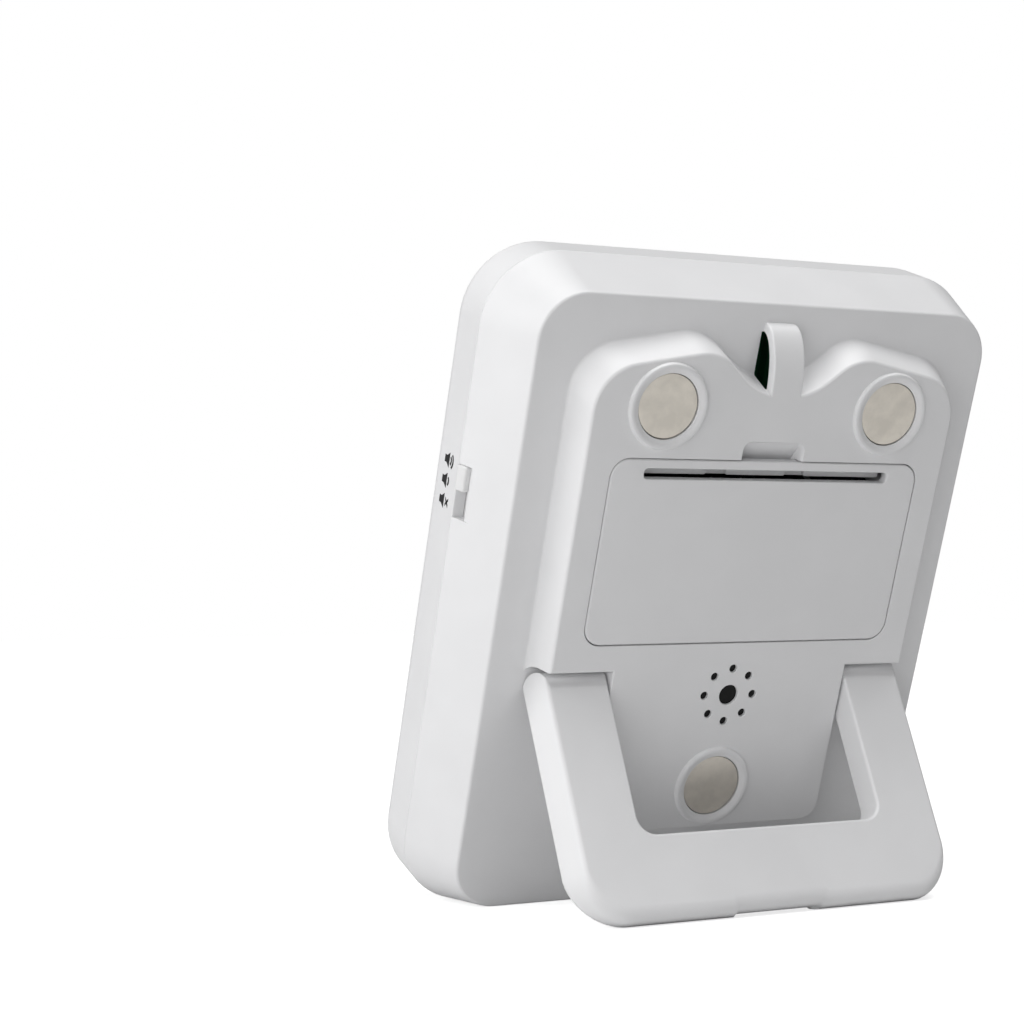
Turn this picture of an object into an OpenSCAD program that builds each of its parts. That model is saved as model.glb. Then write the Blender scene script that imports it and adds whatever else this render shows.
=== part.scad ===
// Triple kitchen timer, standing on its open stand and leaning back.
// The case is drawn upright and then leaned back: x runs across it, y from its front to its back
// with the parting line of the two shells at y = 0, and z up it from the lowest edge at z = 0.
// The finished part rests on the flat of the lower sloped side and on the foot of the stand.

/* [Case] */
// Width of the case at the parting line
case_w = 90; // [88:0.5:100]
// Height of the case at the parting line
case_h = 108; // [107.5:0.5:116]
// Depth of the front shell, from the parting line to the front face
front_depth = 9.8; // [9.4:0.1:12]
// Depth of the sloped sides, from the parting line to the back plane
bevel_depth = 11.2; // [10.6:0.1:13]
// How far the sloped sides come in at the back plane
bevel_inset = 4.3; // [3.6:0.1:5]
// Corner radius of the case at the parting line
corner_r = 12; // [10:0.5:14]
// Rounding of the front edge
front_round = 3.3; // [2.6:0.1:4.5]
// Wall of both shells
wall = 1.8; // [1.5:0.1:2.2]

/* [Raised back] */
// Width of the raised back where it leaves the back plane
raised_w = 68.8; // [66:0.2:72]
// Height of the raised back over the back plane
raised_h = 5.3; // [4.8:0.1:6]
// How far the sides of the raised back lean in
side_draft = 1.7; // [0.8:0.1:2.2]
// How far the top edges of the raised back lean in
top_draft = 2.2; // [1:0.1:2.6]
// Distance from the top of the back plane down to the ears
ear_margin = 3.6; // [3:0.1:5]
// Distance from the middle to the tip of each ear
ear_x = 13.3; // [12.6:0.1:14]
// Slope of the ears, in degrees
ear_slope = 10.6; // [7:0.1:12]
// Depth of the valley between the ears
valley_drop = 7.1; // [6:0.1:7.5]
// Half width of the valley floor
valley_half = 4.9; // [4.6:0.1:5.2]
// Outer corner radius of the ears
ear_outer_r = 8; // [5:0.5:9]
// Radius of the tip of each ear
ear_tip_r = 8; // [5:0.5:9]
// Radius where the valley floor turns up
valley_r = 12; // [8:0.5:12]

/* [Hang loop] */
// Width of the hang loop
loop_w = 5.4; // [4:0.1:6]
// Thickness of the hang loop
loop_t = 1.6; // [1.2:0.1:1.8]
// Length of the hang loop up the back
loop_rise = 11; // [9:0.1:11.5]

/* [Battery bay] */
// Diameter of a cell
cell_d = 10.5; // [10:0.1:11]
// Length of a cell over its tip
cell_l = 44.5; // [43:0.1:46]
// Width of the battery door
door_w = 56; // [54:0.2:58]
// Height of the battery door
door_h = 30.2; // [29.6:0.1:31]
// Thickness of the battery door
door_t = 1.8; // [1.5:0.1:2]
// Height of the middle of the battery door
door_z = 65.8; // [65.2:0.1:66.2]
// Corner radius of the battery door
door_r = 3; // [1.5:0.1:4]
// Gap round the battery door
door_gap = 0.25; // [0.15:0.05:0.4]
// Length of the slit that lets the door's latch bend
slit_l = 44.6; // [40:0.2:48]
// Height of that slit
slit_h = 1.1; // [0.8:0.1:1.4]
// Distance from the top of the door to the middle of the slit
slit_drop = 2.7; // [2.5:0.1:3]
// Width of the fingernail scoop over the door
scoop_w = 11; // [8:0.2:14]
// Height of the fingernail scoop
scoop_h = 3.1; // [2:0.1:3.6]
// Length of a contact spring between its plate and its cell
spring_l = 3.4; // [3.2:0.1:4]
// Wire of a contact spring
spring_wire = 0.6; // [0.5:0.05:0.65]

/* [Stand] */
// Height of the stand's hinge
hinge_z = 42.7; // [42.2:0.1:43.2]
// Length of the stand from its hinge to its foot
stand_len = 37.6; // [37:0.1:38.2]
// Height of the stand's cross bar
bar_h = 13; // [10:0.1:14]
// Width of the stand's arms where they lie on the back plane
arm_w = 12.3; // [11:0.1:12.8]
// Outer corner radius of the stand
stand_r = 8; // [5:0.5:10]
// Corner radius inside the stand's window
window_r = 3; // [1.5:0.1:5]
// Diameter of the stand's hinge pins
pin_d = 3; // [2.4:0.1:3.4]
// Width of the finger notch in the stand's foot
foot_notch_w = 12; // [8:0.5:16]
// Depth of the finger notch
foot_notch_h = 0.5; // [0.3:0.1:1]

/* [Magnets and buzzer] */
// Diameter of a magnet
magnet_d = 10; // [9:0.1:10.4]
// Thickness of a magnet
magnet_t = 3; // [2:0.1:3.5]
// Distance from the middle to each upper magnet
magnet_x = 20.2; // [19:0.1:21]
// Distance from the ears down to the upper magnets
magnet_drop = 11.2; // [11:0.1:11.5]
// Height of the lower magnet
low_magnet_z = 26; // [25.7:0.1:26.4]
// Diameter of the buzzer plate
buzzer_d = 15; // [13.5:0.1:15.4]
// Height of the middle of the buzzer
buzzer_z = 42.2; // [42:0.1:43]
// Radius of the ring of small sound holes
grille_r = 4.5; // [4:0.1:5]

/* [Display] */
// Distance from the side of the case to the clear window
lens_side = 12; // [10:0.5:14]
// Distance from the top of the case to the clear window
lens_top = 10.5; // [10:0.1:12]
// Height of the clear window
lens_h = 46; // [42:0.5:50]
// Thickness of the clear window
lens_t = 1; // [0.8:0.1:1.1]
// Dark border hidden behind the edge of the window
lens_border = 3; // [2:0.1:4]
// Thickness of each of the two display glasses
glass_t = 1.1; // [0.7:0.1:1.2]
// Height of the free space between the display and the board
display_gap = 2.4; // [2.2:0.1:2.6]
// Thickness of the circuit board
board_t = 1.2; // [0.8:0.1:1.6]

/* [Keys] */
// Distance from the side of the case to the keys
key_side = 13; // [11:0.5:15]
// Distance from the bottom of the case to the keys
key_low = 12; // [12:0.1:13]
// Gap between one column of keys and the next
key_gap = 5; // [4:0.1:7]
// Gap between one row of keys and the next, and over the top row
row_gap = 4.5; // [4.2:0.1:5]
// Height of a bottom key as a share of the height of the others
low_key_ratio = 1.25; // [1:0.05:1.4]
// How far the keys stand out of the front
key_proud = 1.1; // [1:0.1:1.6]
// Travel of a key
key_travel = 1; // [0.6:0.1:1.1]

/* [Volume switch] */
// Height of the middle of the volume slot
switch_z = 70.5; // [69:0.1:72]
// Distance between the three places of the volume knob
switch_step = 2.2; // [1.8:0.1:2.4]
// Height of the volume knob
knob_h = 4.7; // [4:0.1:5]
// Width of the volume slot
slot_w = 2.1; // [1.9:0.1:2.4]
// How far the volume knob stands out of the side
knob_proud = 0.4; // [0.2:0.1:1]

/* [Hidden] */

$fn = 48;
hull_fn = 32;
arc_steps = 6;
eps = 0.01;
// Clearance of pieces that are set into one another and don't move
seat = 0.1;
// Clearance of pieces that slide past one another
slide = 0.2;
// Radial clearance of the hinge pins
pin_play = 0.05;

// Levels from front to back
y_front = -front_depth;
y_front_in = y_front + wall;
y_back = bevel_depth;
y_back_in = y_back - wall;
y_face = y_back + raised_h;
y_skin = y_face - wall;
lcd_y = y_front_in + slide;
board_y = lcd_y + 2 * glass_t + display_gap;
board_back = board_y + board_t;

// Lean of the case, which brings its lower sloped side flat on the table
lean = atan2(bevel_inset, bevel_depth);
bevel_slope = bevel_inset / bevel_depth;
side_wall = wall / cos(lean);
base_y = bevel_depth / 2;
base_z = bevel_inset / 2;
back_top = case_h - bevel_inset;

// Raised back
raised_half = raised_w / 2;
ear_z = back_top - ear_margin;
valley_z = ear_z - valley_drop;
shoulder_z = ear_z - (raised_half - ear_x) * tan(ear_slope);
frame_wall = 1.4;
tab_reach = 1.4;
tab_w = 8;
tab_x = 16;
door_low = door_z - door_h / 2;
door_top = door_z + door_h / 2;
arm_gap = 0.4;
arm_in = raised_half - arm_w;
block_half = arm_in - arm_gap;
block_wall = 2.4;

// Battery bay
bay_play = 0.6;
cell_pitch = cell_d + 0.5;
bay_h = cell_pitch + cell_d + bay_play;
contact_t = 0.4;
dimple = 0.3;
dimple_r = 1.6;
tip_l = 0.8;
tip_r = 1.9;
contact_half = 4.2;
tail_w = 2;
bay_l = cell_l + 2 * contact_t + dimple + spring_l;
x_end = bay_l / 2;
bay_low = door_z - bay_h / 2;
bay_top = door_top - 1.2;
ledge_y = y_face - door_t - seat;
cell_y = y_face - door_t - 3 * seat - cell_d / 2;
floor_y = cell_y - cell_d / 2 - slide;
cell_up = door_z + cell_pitch / 2;
cell_low = door_z - cell_pitch / 2;
rib_x = 7.3;
rib_w = 3.2;
rib_back = 1.6;
lug_x = 14;
lug_w = 6;
lug_h = 0.9;
lug_t = 1.1;
tab_y = y_face - max(door_t, wall) - 1.5 * seat;
tab_t = 1;
tab_root = 2;
tab_swing = norm([y_face - tab_y + tab_t, tab_reach]);
spring_turns = 2.5;
spring_wide = 3.4;
spring_narrow = 2;
spring_rings = 8;
spring_sides = 6;
wire_d = 1;
wire_rings = 16;
wire_sides = 8;
wire_bow = 4;
wire_run = 3;
tail_end = floor_y - frame_wall - 1.2;

// Stand
stand_gap = 0.2;
stand_t = raised_h - stand_gap;
barrel_r = stand_t / 2;
hinge_y = y_face - barrel_r;
hinge_cover = 3.5;
notch_z = hinge_z + hinge_cover;
foot_r = barrel_r - 0.15;
foot_z = hinge_z - stand_len;
block_low = foot_z + bar_h + 0.6;
hinge_up = (hinge_z - base_z) * cos(lean) - (hinge_y - base_y) * sin(lean);
leg_angle = acos((hinge_up - foot_r) / (stand_len - foot_r));
stand_open = lean + leg_angle;
heel = 1.6;
pin_l = 2.6;

// Magnets and buzzer
magnet_z = ear_z - magnet_drop;
magnet_play = 0.15;
magnet_out = 0.35;
magnet_y = y_face + magnet_out - magnet_t;
collar_r = magnet_d / 2 + 2;
collar_h = 0.6;
cup_wall = 0.9;
MAGNETS = [[magnet_x, magnet_z], [-magnet_x, magnet_z], [0, low_magnet_z]];
buzzer_room = 1.4;
buzzer_y = y_skin - buzzer_room;
buzzer_step = 0.9;
ring_h = 1.6;
buzzer_t = 0.25;
ceramic_t = 0.2;
ceramic_r = buzzer_d / 2 - 2.3;
hole_big_r = 1.5;
hole_small_r = 0.6;

// Display, board and keys
lens_w = case_w - 2 * lens_side;
display_z = case_h - lens_top - lens_h / 2;
lens_y = y_front + lens_t + seat;
view_w = lens_w - 2 * lens_border;
view_h = lens_h - 2 * lens_border;
lcd_ledge = 3;
glass_r = 0.5;
frame_t = 2;
zebra_t = 2.2;
zebra_l = lens_w - 2 * lens_border;
lip_t = 0.9;
lip_h = 1.5;
lip_out = case_w / 2 - side_wall - lip_h * bevel_slope - seat;
lip_in = lip_out - lip_t;
board_half = case_w / 2 - wall - 2;
board_low = wall + 2;
board_top_gap = 7.5;
board_high = case_h - board_top_gap;
board_mid = (board_low + board_high) / 2;
board_r = 8;
flange = 0.8;
flange_t = 0.8;
web_t = 1;
dome_h = 1.4;
dome_top = board_y - web_t - dome_h;
dome_wall = 0.8;
dome_skirt = 0.5;
dome_room = web_t + dome_h - dome_wall;
dome_r = 3.2;
dome_top_r = 2.5;
pill_r = 1.5;
stem_r = dome_top_r - 0.3;
key_r = 2.5;
key_w = (case_w - 2 * key_side - 2 * key_gap) / 3;
key_pitch = key_w + key_gap;
keys_high = display_z - lens_h / 2 - row_gap;
key_h = (keys_high - key_low - 2 * row_gap) / (2 + low_key_ratio);
low_key_h = key_h * low_key_ratio;
low_row_z = key_low + low_key_h / 2;
mid_row_z = key_low + low_key_h + row_gap + key_h / 2;
top_row_z = keys_high - key_h / 2;
keypad_half = case_w / 2 - key_side + flange;
keypad_low = key_low - flange;
keypad_high = keys_high + flange;
blob_gap = 2;
blob_r = 5.5;
blob_h = 1.3;
blob_z = buzzer_z - (buzzer_y - board_back) / 2 - blob_gap - blob_r;
can_r = 1;
can_l = 6;
// Each key: x, z, width, height
KEYS = [
    [-key_pitch, top_row_z, key_w, key_h],
    [0, top_row_z, key_w, key_h],
    [key_pitch, top_row_z, key_w, key_h],
    [-key_pitch, mid_row_z, key_w, key_h],
    [0, mid_row_z, key_w, key_h],
    [key_pitch, mid_row_z, key_w, key_h],
    [-key_pitch, low_row_z, key_w, low_key_h],
    [key_pitch / 2, low_row_z, key_pitch + key_w, low_key_h],
];

// Screws
pilot_floor = 0.6;
board_boss_r = 1.9;
board_pilot_r = 0.92;
board_screw_r = 0.9;
board_head_r = 1.8;
board_head_h = 1.2;
board_bite = 3;
board_screw_inset = 3;
board_screw_x = board_half - board_screw_inset;
BOARD_SCREWS = [for (z = [board_low + board_r + 1, board_high - board_r - 1], s = [-1, 1])
    [s * board_screw_x, z]];
case_boss_r = 2.2;
case_pilot_r = 1.02;
case_screw_r = 1;
case_head_r = 2.2;
case_head_h = 1.6;
case_bite = 4;
case_screw_x = 18;
case_screw_z = keypad_low - case_boss_r - 0.5;
case_seat_y = 5;
tower_y = 1.2;
tower_wall = 1;

// Volume switch
slot_mid = slot_w / 2;
slot_ease = 1.3;
slot_dip = 0.4;
slot_l = knob_h + 2 * switch_step + slide;
knob_z = switch_z + switch_step;
flange_half = slot_w / 2 + 0.5;
flange_l = slot_l + 2 * switch_step + 0.6;
flange_x = case_w / 2 - side_wall - (slot_mid + flange_half) * bevel_slope - slide;
knob_flange_t = 0.7;
switch_x = flange_x - knob_flange_t - 0.9;
switch_w = 4.8;
switch_end = 1.5;
switch_l = 2 * (switch_step + switch_end);
switch_h = 4;
finger_t = 1.4;
finger_reach = 2;
finger_way = switch_step + finger_t / 2 + slide;

// Turns a list of corners [x, y, radius] into an outline with round corners
function unit(v) = v / norm(v);
function corner(a, b, c, r) =
    let (u = unit(a - b), v = unit(c - b), half = acos(u * v) / 2)
    let (centre = b + unit(u + v) * r / sin(half))
    let (from = b + u * r / tan(half) - centre, to = b + v * r / tan(half) - centre)
    let (start = atan2(from.y, from.x), raw = atan2(to.y, to.x) - start)
    let (sweep = raw > 180 ? raw - 360 : raw < -180 ? raw + 360 : raw)
    [for (i = [0:arc_steps]) let (t = start + sweep * i / arc_steps) centre + r * [cos(t), sin(t)]];
function at(p) = [p.x, p.y];
function round_corners(pts) =
    let (n = len(pts))
    [for (i = [0:n - 1]) each pts[i][2] == 0 ? [at(pts[i])]
        : corner(at(pts[(i + n - 1) % n]), at(pts[i]), at(pts[(i + 1) % n]), pts[i][2])];

// Leans the upright case back and brings the middle of its base to the origin
module leaned() {
    rotate([-lean, 0, 0]) translate([0, -base_y, -base_z]) children();
}
// Lays a flat outline on the level y, seen from behind, to be drawn out towards the back
module from_back(y) {
    translate([0, y, 0]) rotate([90, 0, 180]) children();
}
module box(low, high) {
    translate(low) cube(high - low);
}
module rod_y(x, z, y0, y1, r) {
    translate([x, y0, z]) rotate([-90, 0, 0]) cylinder(r = r, h = y1 - y0);
}
module rod_x(x0, x1, y, z, r) {
    translate([x0, y, z]) rotate([0, 90, 0]) cylinder(r = r, h = x1 - x0);
}
module rounded_rect(w, h, r) {
    square([w - 2 * r, h], center = true);
    square([w, h - 2 * r], center = true);
    for (x = [-1, 1], y = [-1, 1]) translate([x * (w / 2 - r), y * (h / 2 - r)]) circle(r);
}
// A flat plate with round corners, from level y0 to level y1
module plate(w, h, r, z, y0, y1) {
    from_back(y0) translate([0, z]) linear_extrude(y1 - y0) rounded_rect(w, h, r);
}
// Puts a copy of a round corner piece at each corner of the case and spans them
module span_corners() {
    side = case_w / 2 - corner_r;
    hull() for (x = [-side, side], z = [corner_r, case_h - corner_r]) translate([x, 0, z]) children();
}
// A corner of the front shell with a round front edge
module front_corner(r, depth, edge) {
    rotate([90, 0, 0]) for (a = [0:90 / arc_steps:90])
        cylinder(r = r - edge + edge * cos(a), h = depth - edge + edge * sin(a), $fn = hull_fn);
}
// A tapered corner of the rear shell, narrower towards the back
module rear_corner(r, depth) {
    rotate([-90, 0, 0])
        cylinder(r1 = r, r2 = r - depth * bevel_slope, h = depth, $fn = hull_fn);
}

// Front shell
module lip(out, in, y0, y1) {
    from_back(y0) translate([0, case_h / 2]) linear_extrude(y1 - y0) difference() {
        rounded_rect(2 * out, case_h - case_w + 2 * out, corner_r - case_w / 2 + out);
        rounded_rect(2 * in, case_h - case_w + 2 * in, corner_r - case_w / 2 + in);
    }
}
module front_case() {
    color("whitesmoke") leaned() difference() {
        union() {
            difference() {
                span_corners() front_corner(corner_r, front_depth, front_round);
                translate([0, eps, 0]) span_corners()
                    front_corner(corner_r - wall, front_depth - wall + eps, front_round - wall);
            }
            difference() {
                union() {
                    lip(lip_out, lip_in, -lip_h / 2, lip_h);
                    lip(case_w / 2 - wall / 2, lip_in + lip_t / 2, -lip_h, -seat);
                }
                switch_way();
            }
            for (p = BOARD_SCREWS) rod_y(p.x, p.y, y_front_in - eps, board_y, board_boss_r);
            for (s = [-1, 1])
                rod_y(s * case_screw_x, case_screw_z, y_front_in - eps, tower_y - seat, case_boss_r);
        }
        plate(lens_w + 2 * seat, lens_h + 2 * seat, key_r + seat, display_z, y_front - eps, lens_y);
        plate(view_w, view_h, key_r, display_z, y_front, y_front_in + eps);
        for (k = KEYS) plate_at(k, slide, y_front - eps, y_front_in + eps);
        for (p = BOARD_SCREWS) rod_y(p.x, p.y, y_front_in + pilot_floor, board_y + eps, board_pilot_r);
        for (s = [-1, 1])
            rod_y(s * case_screw_x, case_screw_z, y_front_in + pilot_floor, tower_y, case_pilot_r);
    }
}
module plate_at(k, grow, y0, y1) {
    translate([k.x, 0, 0]) plate(k[2] + 2 * grow, k[3] + 2 * grow, key_r + grow, k.y, y0, y1);
}
// The sloped side of the rear shell, by distance from the parting line
function side_x(y) = case_w / 2 - y * bevel_slope;
// The slot for the volume knob in the edge of the rear shell, its far side eased for a finger
module slot() {
    ease_y = slot_w + slot_ease;
    translate([0, 0, switch_z - slot_l / 2]) linear_extrude(slot_l) polygon([
        [flange_x, -1], [case_w / 2 + 1, -1], [case_w / 2 + 1, ease_y],
        [side_x(ease_y), ease_y], [side_x(slot_w) - slot_dip, slot_w], [flange_x, slot_w],
    ]);
}
// Room inside the shells for the flange of the volume knob over its whole travel
module switch_way() {
    half = flange_l / 2 + switch_step + slide;
    box([lip_in - 2, -lip_h - 1, switch_z - half],
        [case_w / 2 - wall / 2 + eps, lip_h + 1, switch_z + half]);
}

// Rear shell
function raised_outline() = round_corners([
    [raised_half, notch_z, 0],
    [raised_half, shoulder_z, ear_outer_r],
    [ear_x, ear_z, ear_tip_r],
    [valley_half, valley_z, valley_r],
    [-valley_half, valley_z, valley_r],
    [-ear_x, ear_z, ear_tip_r],
    [-raised_half, shoulder_z, ear_outer_r],
    [-raised_half, notch_z, 0],
]);
// The block between the stand's arms, with the corners of the stand's window
function block_outline() = round_corners([
    [block_half, notch_z + 1, 0], [block_half, block_low, window_r],
    [-block_half, block_low, window_r], [-block_half, notch_z + 1, 0],
]);
module raised_back() {
    from_back(y_back) translate([0, notch_z])
        linear_extrude(raised_h, slices = 1,
            scale = [1 - side_draft / raised_half, 1 - top_draft / (ear_z - notch_z)])
        translate([0, -notch_z]) polygon(raised_outline());
    from_back(y_back - eps) linear_extrude(raised_h + eps) polygon(block_outline());
}
module raised_room() {
    from_back(y_back_in - 1) linear_extrude(y_skin - y_back_in + 1)
        offset(delta = -wall - max(side_draft, top_draft)) polygon(raised_outline());
    box([block_wall - block_half, y_back_in - 1, block_low + wall],
        [block_half - block_wall, y_skin, notch_z + 2 * wall + max(side_draft, top_draft)]);
}
// The side view of the hang loop, a quarter of an ellipse from the raised back to the back plane
module loop_side(inset) {
    rise = loop_rise - inset;
    out = raised_h - inset;
    spare = inset > 0 ? eps : 0;
    root = valley_z - top_draft;
    deep = y_back - (inset > 0 ? 3 * wall : wall / 2);
    translate([-loop_w / 2 - spare, 0, 0])
        rotate([90, 0, 90]) linear_extrude(loop_w + 2 * spare) polygon([
            [deep, root - wall],
            [y_back + out, root - wall],
            for (a = [0:90 / arc_steps / 2:90]) [y_back + out * cos(a), root + rise * sin(a)],
            [deep, root + rise],
        ]);
}
module bay_frame() {
    side = door_w / 2 + door_gap + frame_wall;
    box([-side, ledge_y - frame_wall, door_low - door_gap - tab_reach - frame_wall],
        [side, y_skin + eps, door_top + door_gap + frame_wall]);
    box([-x_end - frame_wall, floor_y - frame_wall, bay_low - frame_wall],
        [x_end + frame_wall, ledge_y, bay_top + frame_wall]);
    box([-scoop_w / 2 - 1, y_skin - frame_wall, door_top],
        [scoop_w / 2 + 1, y_skin + eps, door_top + scoop_h + 1]);
}
module bay_room() {
    plate(door_w + 2 * door_gap, door_h + 2 * door_gap, door_r + door_gap, door_z, ledge_y, y_face + 1);
    difference() {
        box([-x_end, floor_y, bay_low], [x_end, y_face, bay_top]);
        for (s = [-1, 1])
            box([s * rib_x - rib_w / 2, floor_y - 1, door_z + bay_h / 2],
                [s * rib_x + rib_w / 2, ledge_y - rib_back, bay_top + 1]);
    }
    tab_half = tab_w / 2 + 2 * slide;
    lug_half = lug_w / 2 + 2 * slide;
    for (s = [-1, 1]) {
        box([s * tab_x - tab_half, y_face - tab_swing - slide, door_low - tab_reach - 2 * slide],
            [s * tab_x + tab_half, y_face - max(door_t, wall), bay_low + eps]);
        box([s * lug_x - lug_half, ledge_y - lug_h - slide, bay_top - eps],
            [s * lug_x + lug_half, ledge_y + eps, door_top + door_gap]);
    }
    tail_half = tail_w / 2 + 1.5 * slide;
    for (z = [cell_up, cell_low])
        box([x_end - contact_t - slide, floor_y - frame_wall - 1, z - tail_half],
            [x_end + slide, floor_y + eps, z + tail_half]);
}
module scoop() {
    deep = y_face - 0.9 * wall;
    translate([-scoop_w / 2, 0, 0]) rotate([90, 0, 90]) linear_extrude(scoop_w) polygon([
        [y_face + 1, door_top - door_gap],
        [y_face + 1, door_top + scoop_h + 1],
        [y_face + eps, door_top + scoop_h],
        [deep, door_top + 2 * door_gap],
        [deep, door_top - door_gap],
    ]);
}
// A raised collar with a dished inside, round each magnet
module collar() {
    cup_r = magnet_d / 2 + magnet_play + cup_wall;
    cup_floor = -magnet_t - cup_wall;
    dish = 0.3 * collar_h;
    rotate_extrude() polygon([
        [0, cup_floor], [cup_r, cup_floor], [cup_r, -wall / 2],
        [collar_r, -wall / 2], [collar_r, 0],
        [collar_r - 0.4 * collar_h, 0.75 * collar_h], [collar_r - collar_h, collar_h],
        [collar_r - 1.5 * collar_h, collar_h], [collar_r - 2.3 * collar_h, dish], [0, dish],
    ]);
}
module rear_case() {
    color("gainsboro") leaned() difference() {
        union() {
            difference() {
                union() {
                    span_corners() rear_corner(corner_r, bevel_depth);
                    raised_back();
                }
                translate([0, -eps, 0]) span_corners() rear_corner(corner_r - side_wall, y_back_in + eps);
                raised_room();
            }
            bay_frame();
            loop_side(0);
            for (m = MAGNETS) from_back(y_face) translate([m.x, m.y]) collar();
            rod_y(0, buzzer_z, buzzer_y - ring_h, y_skin + eps, buzzer_d / 2 + seat + buzzer_step);
            for (s = [-1, 1])
                rod_y(s * case_screw_x, case_screw_z, tower_y, y_back - eps, case_head_r + tower_wall);
        }
        bay_room();
        scoop();
        loop_side(loop_t);
        for (m = MAGNETS)
            rod_y(m.x, m.y, magnet_y - seat / 2, y_face + 1, magnet_d / 2 + magnet_play);
        rod_y(0, buzzer_z, buzzer_y - ring_h - 1, buzzer_y, buzzer_d / 2 + seat);
        rod_y(0, buzzer_z, buzzer_y - eps, y_skin, buzzer_d / 2 - buzzer_step);
        rod_y(0, buzzer_z, y_skin - eps, y_face + 1, hole_big_r);
        for (a = [0:45:315]) translate([grille_r * sin(a), 0, buzzer_z + grille_r * cos(a)])
            rod_y(0, 0, y_skin - eps, y_face + 1, hole_small_r);
        for (s = [-1, 1]) {
            mirror([s > 0 ? 0 : 1, 0, 0])
                rod_x(block_half - block_wall - 1, block_half + 1, hinge_y, hinge_z, pin_d / 2 + pin_play);
            rod_y(s * case_screw_x, case_screw_z, tower_y - 1, y_back, case_screw_r + slide);
            rod_y(s * case_screw_x, case_screw_z, case_seat_y, y_back + 1, case_head_r + slide);
        }
        slot();
    }
}

// Battery door with two tabs below, two latch lugs above and a slit that lets the latch bend
module battery_door() {
    color("gainsboro") leaned() {
        difference() {
            plate(door_w, door_h, door_r, door_z, y_face - door_t, y_face);
            box([-slit_l / 2, y_face - door_t - 1, door_top - slit_drop - slit_h / 2],
                [slit_l / 2, y_face + 1, door_top - slit_drop + slit_h / 2]);
        }
        for (x = [-tab_x, tab_x]) {
            box([x - tab_w / 2, tab_y - tab_t, door_low - tab_reach],
                [x + tab_w / 2, tab_y, door_low + tab_root]);
            box([x - tab_w / 2, tab_y - tab_t, door_low + door_gap],
                [x + tab_w / 2, y_face - door_t + eps, door_low + tab_root]);
        }
        for (x = [-lug_x, lug_x])
            box([x - lug_w / 2, y_face - door_t - lug_h, door_top - lug_t],
                [x + lug_w / 2, y_face - door_t + eps, door_top - eps]);
    }
}

// Stand: a flat U with round arm ends, a heel that stops it open and pins that point inwards
function stand_outline() = round_corners([
    [raised_half, notch_z, 0], [raised_half, foot_z, stand_r],
    [-raised_half, foot_z, stand_r], [-raised_half, notch_z, 0],
]);
function window_outline() = round_corners([
    [arm_in, notch_z + 1, 0], [arm_in, foot_z + bar_h, window_r],
    [-arm_in, foot_z + bar_h, window_r], [-arm_in, notch_z + 1, 0],
]);
module stand_side() {
    low = foot_r - stand_len;
    circle(barrel_r);
    translate([-barrel_r, low]) square([2 * barrel_r, -low]);
    translate([barrel_r - foot_r, low]) circle(foot_r);
    translate([foot_r - barrel_r, low]) circle(foot_r);
    translate([foot_r - barrel_r, low - foot_r]) square([2 * (barrel_r - foot_r), 2 * foot_r]);
    heel_at = (barrel_r + stand_gap - seat / 2) * [-cos(stand_open), sin(stand_open)];
    polygon([[0, 0], heel_at, heel_at + heel * [sin(stand_open), cos(stand_open)]]);
}
module stand() {
    color("whitesmoke") leaned()
        translate([0, hinge_y, hinge_z]) rotate([stand_open, 0, 0])
        translate([0, -hinge_y, -hinge_z]) {
            difference() {
                intersection() {
                    from_back(y_face - stand_t) translate([0, notch_z])
                        linear_extrude(stand_t, slices = 1, scale = [1 - side_draft / raised_half, 1])
                        translate([0, -notch_z]) polygon(stand_outline());
                    translate([-case_w / 2, hinge_y, hinge_z]) rotate([90, 0, 90])
                        linear_extrude(case_w) stand_side();
                }
                from_back(y_back - 1) linear_extrude(raised_h + 2) polygon(window_outline());
                box([-foot_notch_w / 2, y_back - 1, foot_z - 1],
                    [foot_notch_w / 2, y_face + 1, foot_z + foot_notch_h]);
            }
            for (s = [0, 1]) mirror([s, 0, 0])
                rod_x(block_half - pin_l + arm_gap, arm_in + arm_w / 2, hinge_y, hinge_z, pin_d / 2);
        }
}

// Display
module display_lens() {
    color("lightcyan") leaned()
        plate(lens_w, lens_h, key_r, display_z, y_front + seat, y_front + seat + lens_t - seat / 2);
}
module lcd_panel() {
    color("darkseagreen") leaned() {
        plate(lens_w, lens_h, glass_r, display_z, lcd_y, lcd_y + glass_t + eps);
        plate(lens_w, lens_h - 2 * lcd_ledge, glass_r, display_z, lcd_y + glass_t, lcd_y + 2 * glass_t);
    }
}
module lcd_frame() {
    color("ivory") leaned() {
        from_back(y_front_in + seat / 2) translate([0, display_z])
            linear_extrude(board_y - y_front_in - seat) difference() {
                rounded_rect(lens_w + 2 * frame_t + 2 * slide, lens_h + 2 * frame_t + 2 * slide, frame_t);
                square([lens_w + 2 * slide, lens_h + 2 * slide], center = true);
            }
        for (s = [-1, 1])
            translate([s * (lens_w / 2 - frame_t / 2), 0, 0])
                box([-frame_t, lcd_y + 2 * glass_t + seat, display_z - lens_h / 2 - 1],
                    [frame_t, board_y - seat / 2, display_z + lens_h / 2 + 1]);
    }
}
module zebra(s) {
    z = display_z + s * (lens_h / 2 - lcd_ledge / 2 + slide / 2);
    color("dimgray") leaned()
        box([-zebra_l / 2 + frame_t, lcd_y + glass_t + 2 * eps, z - zebra_t / 2],
            [zebra_l / 2 - frame_t, board_y, z + zebra_t / 2]);
}

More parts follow.
